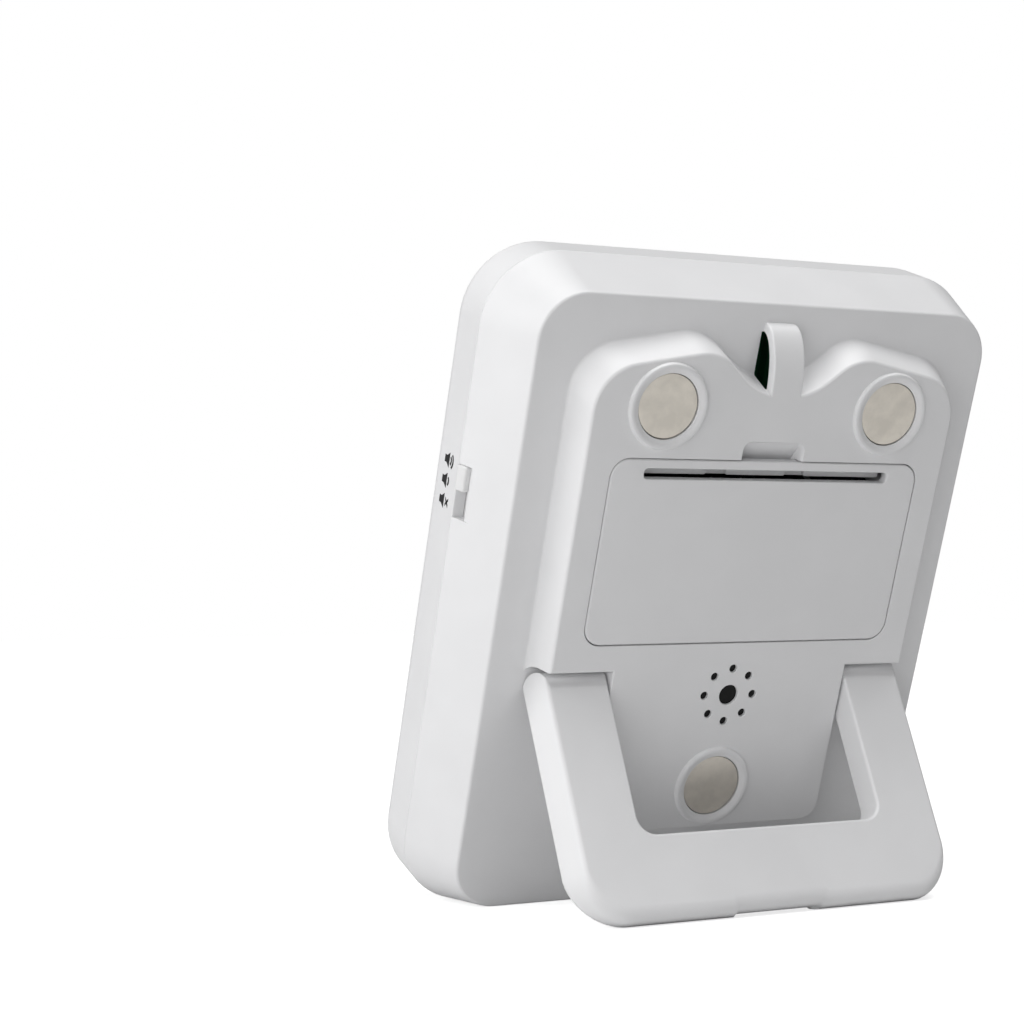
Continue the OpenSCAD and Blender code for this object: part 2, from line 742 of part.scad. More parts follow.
// Circuit board and what is soldered to it
module main_board() {
    color("seagreen") leaned() difference() {
        plate(2 * board_half, board_high - board_low, board_r, board_mid, board_y, board_back);
        for (p = BOARD_SCREWS) rod_y(p.x, p.y, board_y - 1, board_back + 1, board_screw_r + slide);
        for (s = [-1, 1])
            rod_y(s * case_screw_x, case_screw_z, board_y - 1, board_back + 1, case_boss_r + 2 * slide);
        box([switch_x + slide, board_y - 1, switch_z - flange_l / 2 - switch_step - 1],
            [board_half + 1, board_back + 1, switch_z + flange_l / 2 + switch_step + 1]);
    }
}
module controller_blob() {
    color("black") leaned() translate([0, board_back, blob_z]) rotate([-90, 0, 0])
        rotate_extrude() polygon([
            [0, 0], [blob_r, 0],
            for (i = [1:arc_steps]) [blob_r * cos(90 * i / arc_steps), blob_h * sin(90 * i / arc_steps)],
        ]);
}
module crystal() {
    start = 2 * blob_r;
    color("silver") leaned() rod_x(start, start + can_l, board_back + can_r + eps, blob_z, can_r);
}
module volume_switch() {
    color("dimgray") leaned() difference() {
        box([switch_x - switch_w, board_back, switch_z - switch_l / 2],
            [switch_x, board_back + switch_h, switch_z + switch_l / 2]);
        box([switch_x - finger_reach - slide, slot_mid - finger_t / 2 - slide, switch_z - finger_way],
            [switch_x + 1, board_back + switch_h + 1, switch_z + finger_way]);
    }
}
module volume_knob() {
    half = slot_w / 2 - slide / 2;
    color("white") leaned() {
        translate([0, 0, knob_z - knob_h / 2]) linear_extrude(knob_h) polygon([
            [flange_x - eps, slot_mid - half], [side_x(slot_mid - half) + knob_proud, slot_mid - half],
            [side_x(slot_mid + half) + knob_proud, slot_mid + half], [flange_x - eps, slot_mid + half],
        ]);
        box([flange_x - knob_flange_t, slot_mid - flange_half, knob_z - flange_l / 2],
            [flange_x, slot_mid + flange_half, knob_z + flange_l / 2]);
        box([switch_x - finger_reach, slot_mid - finger_t / 2, knob_z - finger_t / 2],
            [flange_x - knob_flange_t + eps, slot_mid + finger_t / 2, knob_z + finger_t / 2]);
    }
}
module buzzer_plate() {
    color("goldenrod") leaned() rod_y(0, buzzer_z, buzzer_y - buzzer_t, buzzer_y, buzzer_d / 2);
}
module buzzer_ceramic() {
    back = buzzer_y - buzzer_t;
    color("ivory") leaned() rod_y(0, buzzer_z, back - ceramic_t, back, ceramic_r);
}

// Keys and the rubber keypad that springs them
module keypad_membrane() {
    mid = (keypad_low + keypad_high) / 2;
    color("lightgray") leaned() difference() {
        union() {
            plate(2 * keypad_half, keypad_high - keypad_low, 2, mid, board_y - web_t, board_y);
            for (k = KEYS) translate([k.x, board_y - web_t + eps, k.y]) rotate([90, 0, 0])
                cylinder(r1 = dome_r, r2 = dome_top_r, h = dome_h + eps);
        }
        for (k = KEYS) difference() {
            translate([k.x, board_y + eps, k.y]) rotate([90, 0, 0])
                cylinder(r1 = dome_r - dome_skirt, r2 = dome_top_r - dome_skirt, h = dome_room);
            rod_y(k.x, k.y, dome_top, board_y - key_travel, pill_r);
        }
    }
}
module key_cap(i) {
    k = KEYS[i];
    color("gainsboro") leaned() {
        plate_at(k, 0, y_front - key_proud, y_front_in + seat);
        plate_at(k, flange, y_front_in + seat / 2, y_front_in + seat / 2 + flange_t);
        rod_y(k.x, k.y, y_front_in + flange_t, dome_top - seat / 2, stem_r);
    }
}

// Magnets, cells and their contacts
module magnet(i) {
    m = MAGNETS[i];
    color("silver") leaned() rod_y(m.x, m.y, magnet_y, magnet_y + magnet_t, magnet_d / 2);
}
// A cell whose tip points along dir, resting on the contact at that end
module cell(z, dir) {
    tip = x_end - contact_t - dimple - eps;
    color("steelblue") leaned() translate([dir * (tip - cell_l), cell_y, z]) rotate([0, dir * 90, 0]) {
        cylinder(r = cell_d / 2, h = cell_l - tip_l);
        cylinder(r = tip_r, h = cell_l);
    }
}
// A contact plate on the end wall of the bay: places are the heights of its cells, tips get a dimple
module contact(end, low, high, tips, tails) {
    x0 = end > 0 ? x_end - contact_t : -x_end;
    color("silver") leaned() {
        box([x0, cell_y - contact_half, low], [x0 + contact_t, cell_y + contact_half, high]);
        for (z = tips) translate([x0 + (end > 0 ? -dimple : contact_t - eps), 0, 0])
            rod_x(0, dimple + eps, cell_y, z, dimple_r);
        for (z = tails)
            box([x0, tail_end, z - tail_w / 2],
                [x0 + contact_t, cell_y - contact_half + eps, z + tail_w / 2]);
    }
}

// A round wire swept along a list of points, with a ring of corners at each one
function direction(pts, i) = unit(pts[min(i + 1, len(pts) - 1)] - pts[max(i - 1, 0)]);
function across(d) = abs(d.z) < 0.9 ? unit(cross(d, [0, 0, 1])) : unit(cross(d, [1, 0, 0]));
function ring(p, d, r, sides) =
    let (u = across(d), v = cross(d, u))
    [for (k = [0:sides - 1]) p + r * (cos(360 * k / sides) * u + sin(360 * k / sides) * v)];
module tube(pts, r, sides) {
    n = len(pts);
    points = [for (i = [0:n - 1]) each ring(pts[i], direction(pts, i), r, sides)];
    walls = [for (i = [0:n - 2], k = [0:sides - 1])
        let (a = i * sides + k, b = i * sides + (k + 1) % sides)
        each [[a, a + sides, b], [b, a + sides, b + sides]]];
    last = (n - 1) * sides;
    caps = [for (k = [1:sides - 2]) each [[0, k, k + 1], [last, last + k + 1, last + k]]];
    polyhedron(points, concat(walls, caps));
}

// Contact spring: a cone of wire, wide on its plate and narrow on its cell
function spring_points() =
    let (n = spring_turns * spring_rings, run = spring_l - spring_wire - seat)
    [for (i = [0:n])
        let (r = spring_wide + (spring_narrow - spring_wide) * i / n, a = 360 * i / spring_rings)
        [(spring_wire + seat) / 2 + run * i / n, r * cos(a), r * sin(a)]];
function spring_gap() =
    let (p = spring_points(), n = len(p))
    min([for (i = [0:n - 1], j = [i + spring_rings / 2:1:n - 1]) norm(p[i] - p[j])]) - spring_wire;
module spring(z, dir) {
    echo(least_gap_of_the_spring_to_itself = spring_gap());
    color("silver") leaned() translate([dir * (x_end - contact_t), cell_y, z])
        rotate([0, 0, dir > 0 ? 180 : 0]) tube(spring_points(), spring_wire / 2, spring_sides);
}

// Screws with a round head and a cross recess
module screw(x, z, seat_y, head_r, head_h, r, length) {
    difference() {
        union() {
            rod_y(x, z, seat_y, seat_y + head_h, head_r);
            rod_y(x, z, seat_y - length, seat_y + eps, r);
        }
        for (a = [0, 90]) translate([x, seat_y + head_h, z]) rotate([0, a, 0])
            cube([1.3 * head_r, head_h, head_r / 4], center = true);
    }
}
module board_screws() {
    color("silver") leaned() for (p = BOARD_SCREWS)
        screw(p.x, p.y, board_back, board_head_r, board_head_h, board_screw_r, board_t + board_bite);
}
module case_screws() {
    color("silver") leaned() for (s = [-1, 1])
        screw(s * case_screw_x, case_screw_z, case_seat_y, case_head_r, case_head_h, case_screw_r,
            case_seat_y + case_bite);
}

// Wires: smooth curves from a solder tail or the buzzer to the board
function bezier(a, b, c, d, t) =
    pow(1 - t, 3) * a + 3 * t * pow(1 - t, 2) * b + 3 * t * t * (1 - t) * c + pow(t, 3) * d;
module wire(from, leave, to, arrive, tint) {
    color(tint) leaned()
        tube([for (i = [0:wire_rings]) bezier(from, from + leave, to + arrive, to, i / wire_rings)],
            wire_d / 2, wire_sides);
}
module battery_wire(z, run, tint) {
    start = [x_end + eps, tail_end + wire_d / 2, z];
    end = [x_end + 1.5 * wire_bow, board_back + eps, z + run];
    wire(start, [wire_bow, 0, 0], end, [0, wire_bow, 0], tint);
}
module buzzer_wire(x, y, tint) {
    bow = (y - board_back) / 2;
    wire([x, y, buzzer_z], [0, -bow, 0], [x, board_back + eps, buzzer_z - bow], [0, bow, 0], tint);
}

front_case();
rear_case();
battery_door();
stand();
display_lens();
lcd_panel();
lcd_frame();
zebra(1);  // zebra_upper
zebra(-1);  // zebra_lower
main_board();
controller_blob();
crystal();
volume_switch();
volume_knob();
buzzer_plate();
buzzer_ceramic();
keypad_membrane();
key_cap(0);  // key_timer_1
key_cap(1);  // key_timer_2
key_cap(2);  // key_timer_3
key_cap(3);  // key_hour
key_cap(4);  // key_minute
key_cap(5);  // key_second
key_cap(6);  // key_clear
key_cap(7);  // key_start
magnet(0);  // magnet_left
magnet(1);  // magnet_right
magnet(2);  // magnet_lower
cell(cell_up, -1);  // cell_upper
cell(cell_low, 1);  // cell_lower
contact(-1, cell_low - contact_half, cell_up + contact_half, [cell_up], []);  // contact_link
contact(1, cell_up - contact_half, cell_up + contact_half, [], [cell_up]);  // contact_negative
contact(1, cell_low - contact_half, cell_low + contact_half, [cell_low], [cell_low]);  // contact_positive
spring(cell_low, -1);  // spring_link
spring(cell_up, 1);  // spring_negative
board_screws();
case_screws();
battery_wire(cell_low, -wire_run, "red");  // wire_positive
battery_wire(cell_up, wire_run, "black");  // wire_negative
buzzer_wire(ceramic_r + 1, buzzer_y - buzzer_t - eps, "black");  // wire_buzzer_plate
buzzer_wire(-ceramic_r / 2, buzzer_y - buzzer_t - ceramic_t - eps, "red");  // wire_buzzer_ceramic
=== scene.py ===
# %% [markdown]
# # A triple kitchen timer, seen from behind
# The timer stands on the flat of its lower side and on a fold-out stand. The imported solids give
# every piece its place. This lesson dresses them: moulded shells with soft edges, a hang loop,
# magnets in collars, a battery door, keys, a display, and the small parts inside.

# %% Load the solids
import math

import bmesh
import bpy
from mathutils import Matrix, Vector
from mathutils.geometry import delaunay_2d_cdt


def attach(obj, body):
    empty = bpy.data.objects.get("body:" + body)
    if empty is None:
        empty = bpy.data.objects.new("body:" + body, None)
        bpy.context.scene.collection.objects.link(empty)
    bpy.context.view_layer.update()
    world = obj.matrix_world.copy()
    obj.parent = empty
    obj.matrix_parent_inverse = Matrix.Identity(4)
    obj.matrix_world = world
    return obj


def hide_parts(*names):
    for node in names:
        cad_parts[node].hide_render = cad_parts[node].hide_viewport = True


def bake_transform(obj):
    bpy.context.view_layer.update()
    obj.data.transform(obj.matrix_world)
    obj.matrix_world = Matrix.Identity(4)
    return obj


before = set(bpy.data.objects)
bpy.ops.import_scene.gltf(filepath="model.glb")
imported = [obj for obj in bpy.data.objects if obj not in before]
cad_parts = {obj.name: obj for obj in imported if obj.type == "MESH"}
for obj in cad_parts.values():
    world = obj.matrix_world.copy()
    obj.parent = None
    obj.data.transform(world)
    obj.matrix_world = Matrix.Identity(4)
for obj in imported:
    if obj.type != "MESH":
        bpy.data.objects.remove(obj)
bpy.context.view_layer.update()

# %% [markdown]
# ## One frame for drawing
# A moulded case is easiest to draw upright: x runs across, y from front to back with the parting
# line at y = 0, and z up. Everything below is drawn there in millimetres. One matrix then leans
# the case back onto its lower side and turns millimetres into metres.

# %% From the upright case to the table
BEVEL = 4.3
BACK_Y = 11.2
SLOPE = BEVEL / BACK_Y
LEAN = math.atan2(BEVEL, BACK_Y)
PER_METRE = 1000.0
TO_TABLE = (Matrix.Scale(1 / PER_METRE, 4) @ Matrix.Rotation(-LEAN, 4, "X")
            @ Matrix.Translation((0, -BACK_Y / 2, -BEVEL / 2)))
print("lean:", round(math.degrees(LEAN), 2), "degrees")

# %% [markdown]
# ## Camera, light and floor
# The photograph is taken from behind and a little to one side, with a long lens near the table.
# Its place was worked out from the door, the slit and the edges of the case. A wide lamp on the
# left lights the sides, a low one nearer the camera reaches under the stand, one overhead lights
# the top, and the pale floor throws light back up onto the back, which faces slightly down. The
# floor and the surround look white to the camera; the floor keeps the shadow.

# %% Camera
LENS_MM = 72.17
SENSOR_MM = 36
CAMERA_AT = (0.17771, 0.30209, 0.04681)
CAMERA_RIGHT = (-0.8936, 0.4487, -0.0158)
CAMERA_AHEAD = (-0.4489, -0.8923, 0.0485)


def new_object(name, data):
    """An object of the given data, linked to the scene."""
    piece = bpy.data.objects.new(name, data)
    bpy.context.scene.collection.objects.link(piece)
    return piece


def make_camera():
    lens = bpy.data.cameras.new("camera")
    lens.lens = LENS_MM
    lens.sensor_width = SENSOR_MM
    lens.clip_start = 0.01
    camera = new_object("camera", lens)
    ahead = Vector(CAMERA_AHEAD).normalized()
    up = Vector(CAMERA_RIGHT).normalized().cross(ahead).normalized()
    turn = Matrix((ahead.cross(up), up, -ahead)).transposed().to_4x4()
    camera.matrix_world = Matrix.Translation(CAMERA_AT) @ turn
    bpy.context.scene.camera = camera
    return camera


camera = make_camera()
bpy.context.scene.view_settings.view_transform = "Standard"
print("camera at", tuple(round(v, 3) for v in camera.location))


# %% Node helpers
def new_material(name):
    material = bpy.data.materials.new(name)
    material.use_nodes = True
    return material, material.node_tree, material.node_tree.nodes["Principled BSDF"]


def fill_in(node, inputs):
    """Sets a node's inputs. A value that is the output of another node is linked."""
    for key, value in inputs.items():
        if isinstance(value, bpy.types.NodeSocket):
            node.id_data.links.new(value, node.inputs[key])
        else:
            node.inputs[key].default_value = value


def add(tree, kind, inputs=None, **settings):
    node = tree.nodes.new(kind)
    for key, value in settings.items():
        setattr(node, key, value)
    fill_in(node, inputs or {})
    return node


# %% Surround and floor
WHITE = (1, 1, 1, 1)
SURROUND = {"Color": (0.985, 0.99, 1.0, 1), "Strength": 0.12}
TABLE = {"Base Color": (0.74, 0.74, 0.74, 1), "Roughness": 0.9, "Specular IOR Level": 0.1}
TABLE_GLOW = {"From Min": 0.1, "From Max": 0.6, "To Min": 0.7, "To Max": 1.0}
TABLE_HALF = 4.0
TABLE_Z = -2e-5


def seen_directly(tree):
    """1 for what the camera sees straight or through the window, 0 for light on the object."""
    path = add(tree, "ShaderNodeLightPath").outputs
    rays = {0: path["Is Camera Ray"], 1: path["Is Transmission Ray"]}
    return add(tree, "ShaderNodeMath", rays, operation="MAXIMUM").outputs[0]


def split_by_view(tree, for_light, for_camera, output):
    """Ends a tree with one shader that lights the object and one that the camera sees."""
    mix = add(tree, "ShaderNodeMixShader", {0: seen_directly(tree), 1: for_light, 2: for_camera})
    fill_in(tree.nodes[output], {"Surface": mix.outputs[0]})


def make_world():
    world = bpy.data.worlds.new("surround")
    bpy.context.scene.world = world
    world.use_nodes = True
    tree = world.node_tree
    fill = tree.nodes["Background"]
    fill_in(fill, SURROUND)
    white = add(tree, "ShaderNodeBackground", {"Color": WHITE, "Strength": 1.0})
    split_by_view(tree, fill.outputs[0], white.outputs[0], "World Output")


def make_floor():
    mesh = bpy.data.meshes.new("floor")
    corners = [(x * TABLE_HALF, y * TABLE_HALF, TABLE_Z) for x, y in ((-1, -1), (1, -1), (1, 1), (-1, 1))]
    mesh.from_pydata(corners, [], [(0, 1, 2, 3)])
    floor = new_object("floor", mesh)
    material, tree, shader = new_material("pale_table")
    fill_in(shader, TABLE)
    place = add(tree, "ShaderNodeTexCoord").outputs["Object"]
    away = add(tree, "ShaderNodeVectorMath", {0: place}, operation="LENGTH").outputs["Value"]
    fade = add(tree, "ShaderNodeMapRange", TABLE_GLOW | {"Value": away}).outputs["Result"]
    glow = add(tree, "ShaderNodeEmission", {"Color": WHITE, "Strength": fade}).outputs[0]
    both = add(tree, "ShaderNodeAddShader", {0: shader.outputs[0], 1: glow}).outputs[0]
    split_by_view(tree, shader.outputs[0], both, "Material Output")
    mesh.materials.append(material)


make_world()
make_floor()
print("floor half width:", TABLE_HALF, "m")

# %% Lamps
LAMP_AIM = Vector((0, 0.02, 0.055))


def make_lamp(name, place, wide, high, power):
    light = bpy.data.lights.new(name, "AREA")
    light.shape = "ELLIPSE"
    light.size = wide
    light.size_y = high
    light.energy = power
    lamp = new_object(name, light)
    lamp.location = place
    lamp.rotation_euler = (LAMP_AIM - Vector(place)).to_track_quat("-Z", "Y").to_euler()


make_lamp("side_lamp", (0.69, -0.06, 0.2), wide=0.9, high=0.75, power=3.45)
make_lamp("low_lamp", (0.5, 0.5, 0.1), wide=0.5, high=0.3, power=0.9)
make_lamp("top_lamp", (0.0, 0.19, 0.72), wide=0.9, high=0.5, power=4.05)

# %% [markdown]
# ## Finishes
# The timer is injection-moulded in white ABS. Such plastic is never one flat tone: the mould is
# lightly textured, so the gloss is broken up, and the tone drifts a little from thick to thin
# places. Noise on Object coordinates gives both, at the size of the real grain, so the pattern
# stays on the piece when it moves.

# %% Moulded plastic and rubber
DRIFT_MM = 14.0


def grain(tree, size_mm, detail=3.0):
    """Noise whose spots are about size_mm across."""
    place = add(tree, "ShaderNodeTexCoord").outputs["Object"]
    noise = {"Vector": place, "Scale": PER_METRE / size_mm, "Detail": detail, "Roughness": 0.55}
    return add(tree, "ShaderNodeTexNoise", noise).outputs["Fac"]


def tint_between(tree, factor, dark, light, low=0.35, high=0.65):
    ramp = add(tree, "ShaderNodeValToRGB", {"Fac": factor})
    for element, place, tone in zip(ramp.color_ramp.elements, (low, high), (dark, light)):
        element.position = place
        element.color = (*tone, 1)
    return ramp.outputs["Color"]


def gloss_between(tree, shader, factor, gloss, depth_mm=0.0, strength=0.0):
    """Roughness between two values of gloss, and a bump of the same grain if it has a depth."""
    band = add(tree, "ShaderNodeMapRange", {"Value": factor, "To Min": gloss[0], "To Max": gloss[1]})
    fill_in(shader, {"Roughness": band.outputs["Result"]})
    if depth_mm:
        bump = {"Strength": strength, "Distance": depth_mm / PER_METRE, "Height": factor}
        fill_in(shader, {"Normal": add(tree, "ShaderNodeBump", bump).outputs["Normal"]})


def moulded(name, tone, gloss=(0.34, 0.46), grain_mm=0.22, drift=0.03):
    """Moulded plastic or rubber: a slow drift of tone and a fine textured gloss."""
    material, tree, shader = new_material(name)
    dark = tuple(c * (1 - drift) for c in tone)
    tint = tint_between(tree, grain(tree, DRIFT_MM, 2.0), dark, tone)
    fill_in(shader, {"Base Color": tint, "IOR": 1.5})
    gloss_between(tree, shader, grain(tree, grain_mm, 2.0), gloss, depth_mm=0.006, strength=0.5)
    return material


CASE_WHITE = moulded("case_white_abs", (0.80, 0.80, 0.808))
STAND_WHITE = moulded("stand_white_abs", (0.80, 0.80, 0.808))
KNOB_WHITE = moulded("knob_white_pom", (0.765, 0.765, 0.765), gloss=(0.28, 0.4))
KEY_WHITE = moulded("key_white_abs", (0.78, 0.785, 0.79), gloss=(0.3, 0.42))
KEY_GREY = moulded("key_grey_abs", (0.42, 0.44, 0.46), gloss=(0.32, 0.44))
KEY_ACCENT = moulded("key_green_abs", (0.10, 0.42, 0.30), gloss=(0.3, 0.42))
FRAME_WHITE = moulded("frame_ivory", (0.72, 0.70, 0.64), gloss=(0.45, 0.6))
KEYPAD_RUBBER = moulded("keypad_rubber", (0.48, 0.48, 0.47), gloss=(0.6, 0.75), grain_mm=0.4)
EPOXY = moulded("potting_black", (0.012, 0.012, 0.013), gloss=(0.3, 0.5), grain_mm=0.8)
SIGN_INK = moulded("sign_ink", (0.012, 0.012, 0.013), gloss=(0.4, 0.55), grain_mm=0.12, drift=0.1)
# A near-black disc just behind the sound holes: painted shade, so that the holes read black.
HOLE_SHADE_BLACK = moulded("painted_hole_shade", (0.006, 0.006, 0.006), gloss=(0.85, 0.95), grain_mm=0.15, drift=0.3)
CERAMIC = moulded("buzzer_ceramic", (0.66, 0.63, 0.54), gloss=(0.5, 0.65), grain_mm=0.3, drift=0.08)
WIRE_RED = moulded("wire_red", (0.45, 0.02, 0.02), gloss=(0.35, 0.5), grain_mm=0.5, drift=0.12)
WIRE_BLACK = moulded("wire_black", (0.02, 0.02, 0.022), gloss=(0.35, 0.5), grain_mm=0.5, drift=0.12)
SEGMENT_INK = moulded("segment_ink", (0.03, 0.034, 0.032), gloss=(0.3, 0.4), grain_mm=0.3, drift=0.15)
MASK_PRINT = moulded("window_border", (0.30, 0.32, 0.35), gloss=(0.35, 0.5), grain_mm=0.2, drift=0.05)
print("plastics and inks ready")

# %% [markdown]
# ## Metal, board and glass
# Nickel plating on the contacts and springs shows fine drawn lines, brass and steel a broken
# gloss. The circuit board has a green mask over faint copper tracks. The display glass is a
# silvery green with a fine weave from its reflector, and the window is clear plastic.

# %% Metals
EVEN_LINES = (0.3, 0.3, 0.3)


def metal(name, tone, gloss=(0.18, 0.34), lines_mm=(0.08, 0.08, 1.6)):
    """Plated or drawn metal: long fine lines in the gloss and a slight drift of tone."""
    material, tree, shader = new_material(name)
    place = add(tree, "ShaderNodeTexCoord").outputs["Object"]
    scale = tuple(PER_METRE / v for v in lines_mm)
    stretch = add(tree, "ShaderNodeMapping", {"Vector": place, "Scale": scale}).outputs["Vector"]
    lines = add(tree, "ShaderNodeTexNoise", {"Vector": stretch, "Scale": 1.0, "Detail": 3.0}).outputs["Fac"]
    tint = tint_between(tree, grain(tree, 3.0), tuple(c * 0.88 for c in tone), tone)
    fill_in(shader, {"Base Color": tint, "Metallic": 1.0})
    gloss_between(tree, shader, lines, gloss, depth_mm=0.004, strength=0.35)
    return material


CONTACT_NICKEL = metal("contact_nickel", (0.62, 0.60, 0.57))
SPRING_NICKEL = metal("spring_nickel", (0.60, 0.58, 0.56), lines_mm=(0.2, 0.2, 0.2))
MAGNET_NICKEL = metal("magnet_satin", (0.87, 0.82, 0.735), gloss=(0.36, 0.5), lines_mm=EVEN_LINES)
SCREW_STEEL = metal("screw_steel", (0.50, 0.50, 0.51), lines_mm=EVEN_LINES)
CAN_STEEL = metal("can_steel", (0.58, 0.58, 0.59))
SWITCH_STEEL = metal("switch_steel", (0.52, 0.52, 0.53))
BRASS = metal("buzzer_brass", (0.68, 0.50, 0.22))
print("metals ready")


# %% Board, rubber connector and glass
def striped(name, first, second, pitch_mm, gloss):
    """Even stripes across x, as on a connector strip or under a board's mask."""
    material, tree, shader = new_material(name)
    place = add(tree, "ShaderNodeTexCoord").outputs["Object"]
    stripes = {"Vector": place, "Scale": PER_METRE / pitch_mm / math.tau, "Distortion": 0.0}
    wave = add(tree, "ShaderNodeTexWave", stripes, bands_direction="X").outputs["Fac"]
    fill_in(shader, {"Base Color": tint_between(tree, wave, first, second, 0.45, 0.55)})
    gloss_between(tree, shader, grain(tree, 0.3), gloss, depth_mm=0.006, strength=0.4)
    return material


def clear_plastic(name):
    material, tree, shader = new_material(name)
    fill_in(shader, {"Base Color": (0.97, 0.985, 0.98, 1), "Transmission Weight": 1.0, "IOR": 1.49})
    gloss_between(tree, shader, grain(tree, 1.5), (0.02, 0.06))
    return material


def display_glass(name):
    material, tree, shader = new_material(name)
    tint = tint_between(tree, grain(tree, 0.25, 1.0), (0.36, 0.40, 0.36), (0.41, 0.45, 0.40))
    fill_in(shader, {"Base Color": tint})
    gloss_between(tree, shader, grain(tree, 9.0), (0.16, 0.24))
    return material


BOARD_GREEN = striped("board_green", (0.015, 0.13, 0.05), (0.03, 0.19, 0.08), 1.27, (0.3, 0.45))
ZEBRA = striped("zebra_rubber", (0.05, 0.05, 0.05), (0.45, 0.42, 0.40), 0.2, (0.55, 0.7))
LENS_CLEAR = clear_plastic("window_clear")
LCD_GLASS = display_glass("lcd_glass")
print("materials:", len(bpy.data.materials))

# %% [markdown]
# ## Drawing outlines
# Most pieces are outlines drawn out in depth, with round corners and soft edges. A rounded
# outline, an inset that keeps its corners, and a skin that joins rings of points are enough to
# build them all. Flat faces with holes are filled by Delaunay triangles, so few cuts are needed.

# %% Outlines
NEARLY_STRAIGHT = 0.85


def round_turn(count):
    """The angles of evenly spaced points round a circle."""
    return [2 * math.pi * k / count for k in range(count)]


def rounded(corners, steps=8, closed=True):
    """Points of an outline whose corners are (x, z) or (x, z, radius)."""
    loop = []
    count = len(corners)
    for i, corner in enumerate(corners):
        point = Vector(corner[:2])
        radius = corner[2] if len(corner) > 2 else 0
        if not radius or (not closed and i in (0, count - 1)):
            loop.append(point)
            continue
        back = (Vector(corners[i - 1][:2]) - point).normalized()
        ahead = (Vector(corners[(i + 1) % count][:2]) - point).normalized()
        half = back.angle(ahead) / 2
        centre = point + (back + ahead).normalized() * (radius / math.sin(half))
        first = point + back * (radius / math.tan(half)) - centre
        last = point + ahead * (radius / math.tan(half)) - centre
        start = math.atan2(first.y, first.x)
        sweep = (math.atan2(last.y, last.x) - start + math.pi) % (2 * math.pi) - math.pi
        for k in range(steps + 1):
            a = start + sweep * k / steps
            loop.append(centre + radius * Vector((math.cos(a), math.sin(a))))
    return loop


def rectangle(half_x, low, high, radius, x=0.0, steps=8):
    return rounded([(x + half_x, low, radius), (x + half_x, high, radius),
                    (x - half_x, high, radius), (x - half_x, low, radius)], steps)


def circle(x, z, radius, count=40):
    return [Vector((x + radius * math.cos(a), z + radius * math.sin(a))) for a in round_turn(count)]


def edge_normals(loop):
    """The inward normal of each edge of a counter-clockwise outline."""
    normals = []
    for i, point in enumerate(loop):
        along = (loop[(i + 1) % len(loop)] - point).normalized()
        normals.append(Vector((-along.y, along.x)))
    return normals


def inset(loop, depth):
    """Moves each edge inwards by depth, which is one number or one for each edge."""
    depths = depth if isinstance(depth, list) else [depth] * len(loop)
    normals = edge_normals(loop)
    moved = []
    for i, point in enumerate(loop):
        before, after = normals[i - 1], normals[i]
        d0, d1 = depths[i - 1], depths[i]
        cosine = before.dot(after)
        if cosine > NEARLY_STRAIGHT:
            mean = (before + after).normalized()
            moved.append(point + mean * ((d0 + d1) / 2 / mean.dot(after)))
        else:
            scale = 1 - cosine * cosine
            moved.append(point + before * ((d0 - cosine * d1) / scale) + after * ((d1 - cosine * d0) / scale))
    return moved


def inside(spot, loop):
    """True if a spot is within an outline."""
    odd = False
    for a, b in zip(loop, loop[1:] + loop[:1]):
        if (a.y > spot.y) != (b.y > spot.y) and spot.x < (b.x - a.x) * (spot.y - a.y) / (b.y - a.y) + a.x:
            odd = not odd
    return odd


def soft_levels(low, high, soft_low, soft_high, steps=4):
    """Pairs of y and inset that round both ends of a wall."""
    way = math.copysign(1, high - low)
    angles = [math.pi / 2 * k / steps for k in range(steps + 1)]
    start = [(low + way * soft_low * (1 - math.cos(a)), soft_low * (1 - math.sin(a))) for a in angles]
    end = [(high - way * soft_high * (1 - math.sin(a)), soft_high * (1 - math.cos(a))) for a in angles]
    return start + end


# %% A skin of rings
CROWN_STEP = 0.6
SAME_POINT = 1e-5
SAME_SPOT = 1e-7


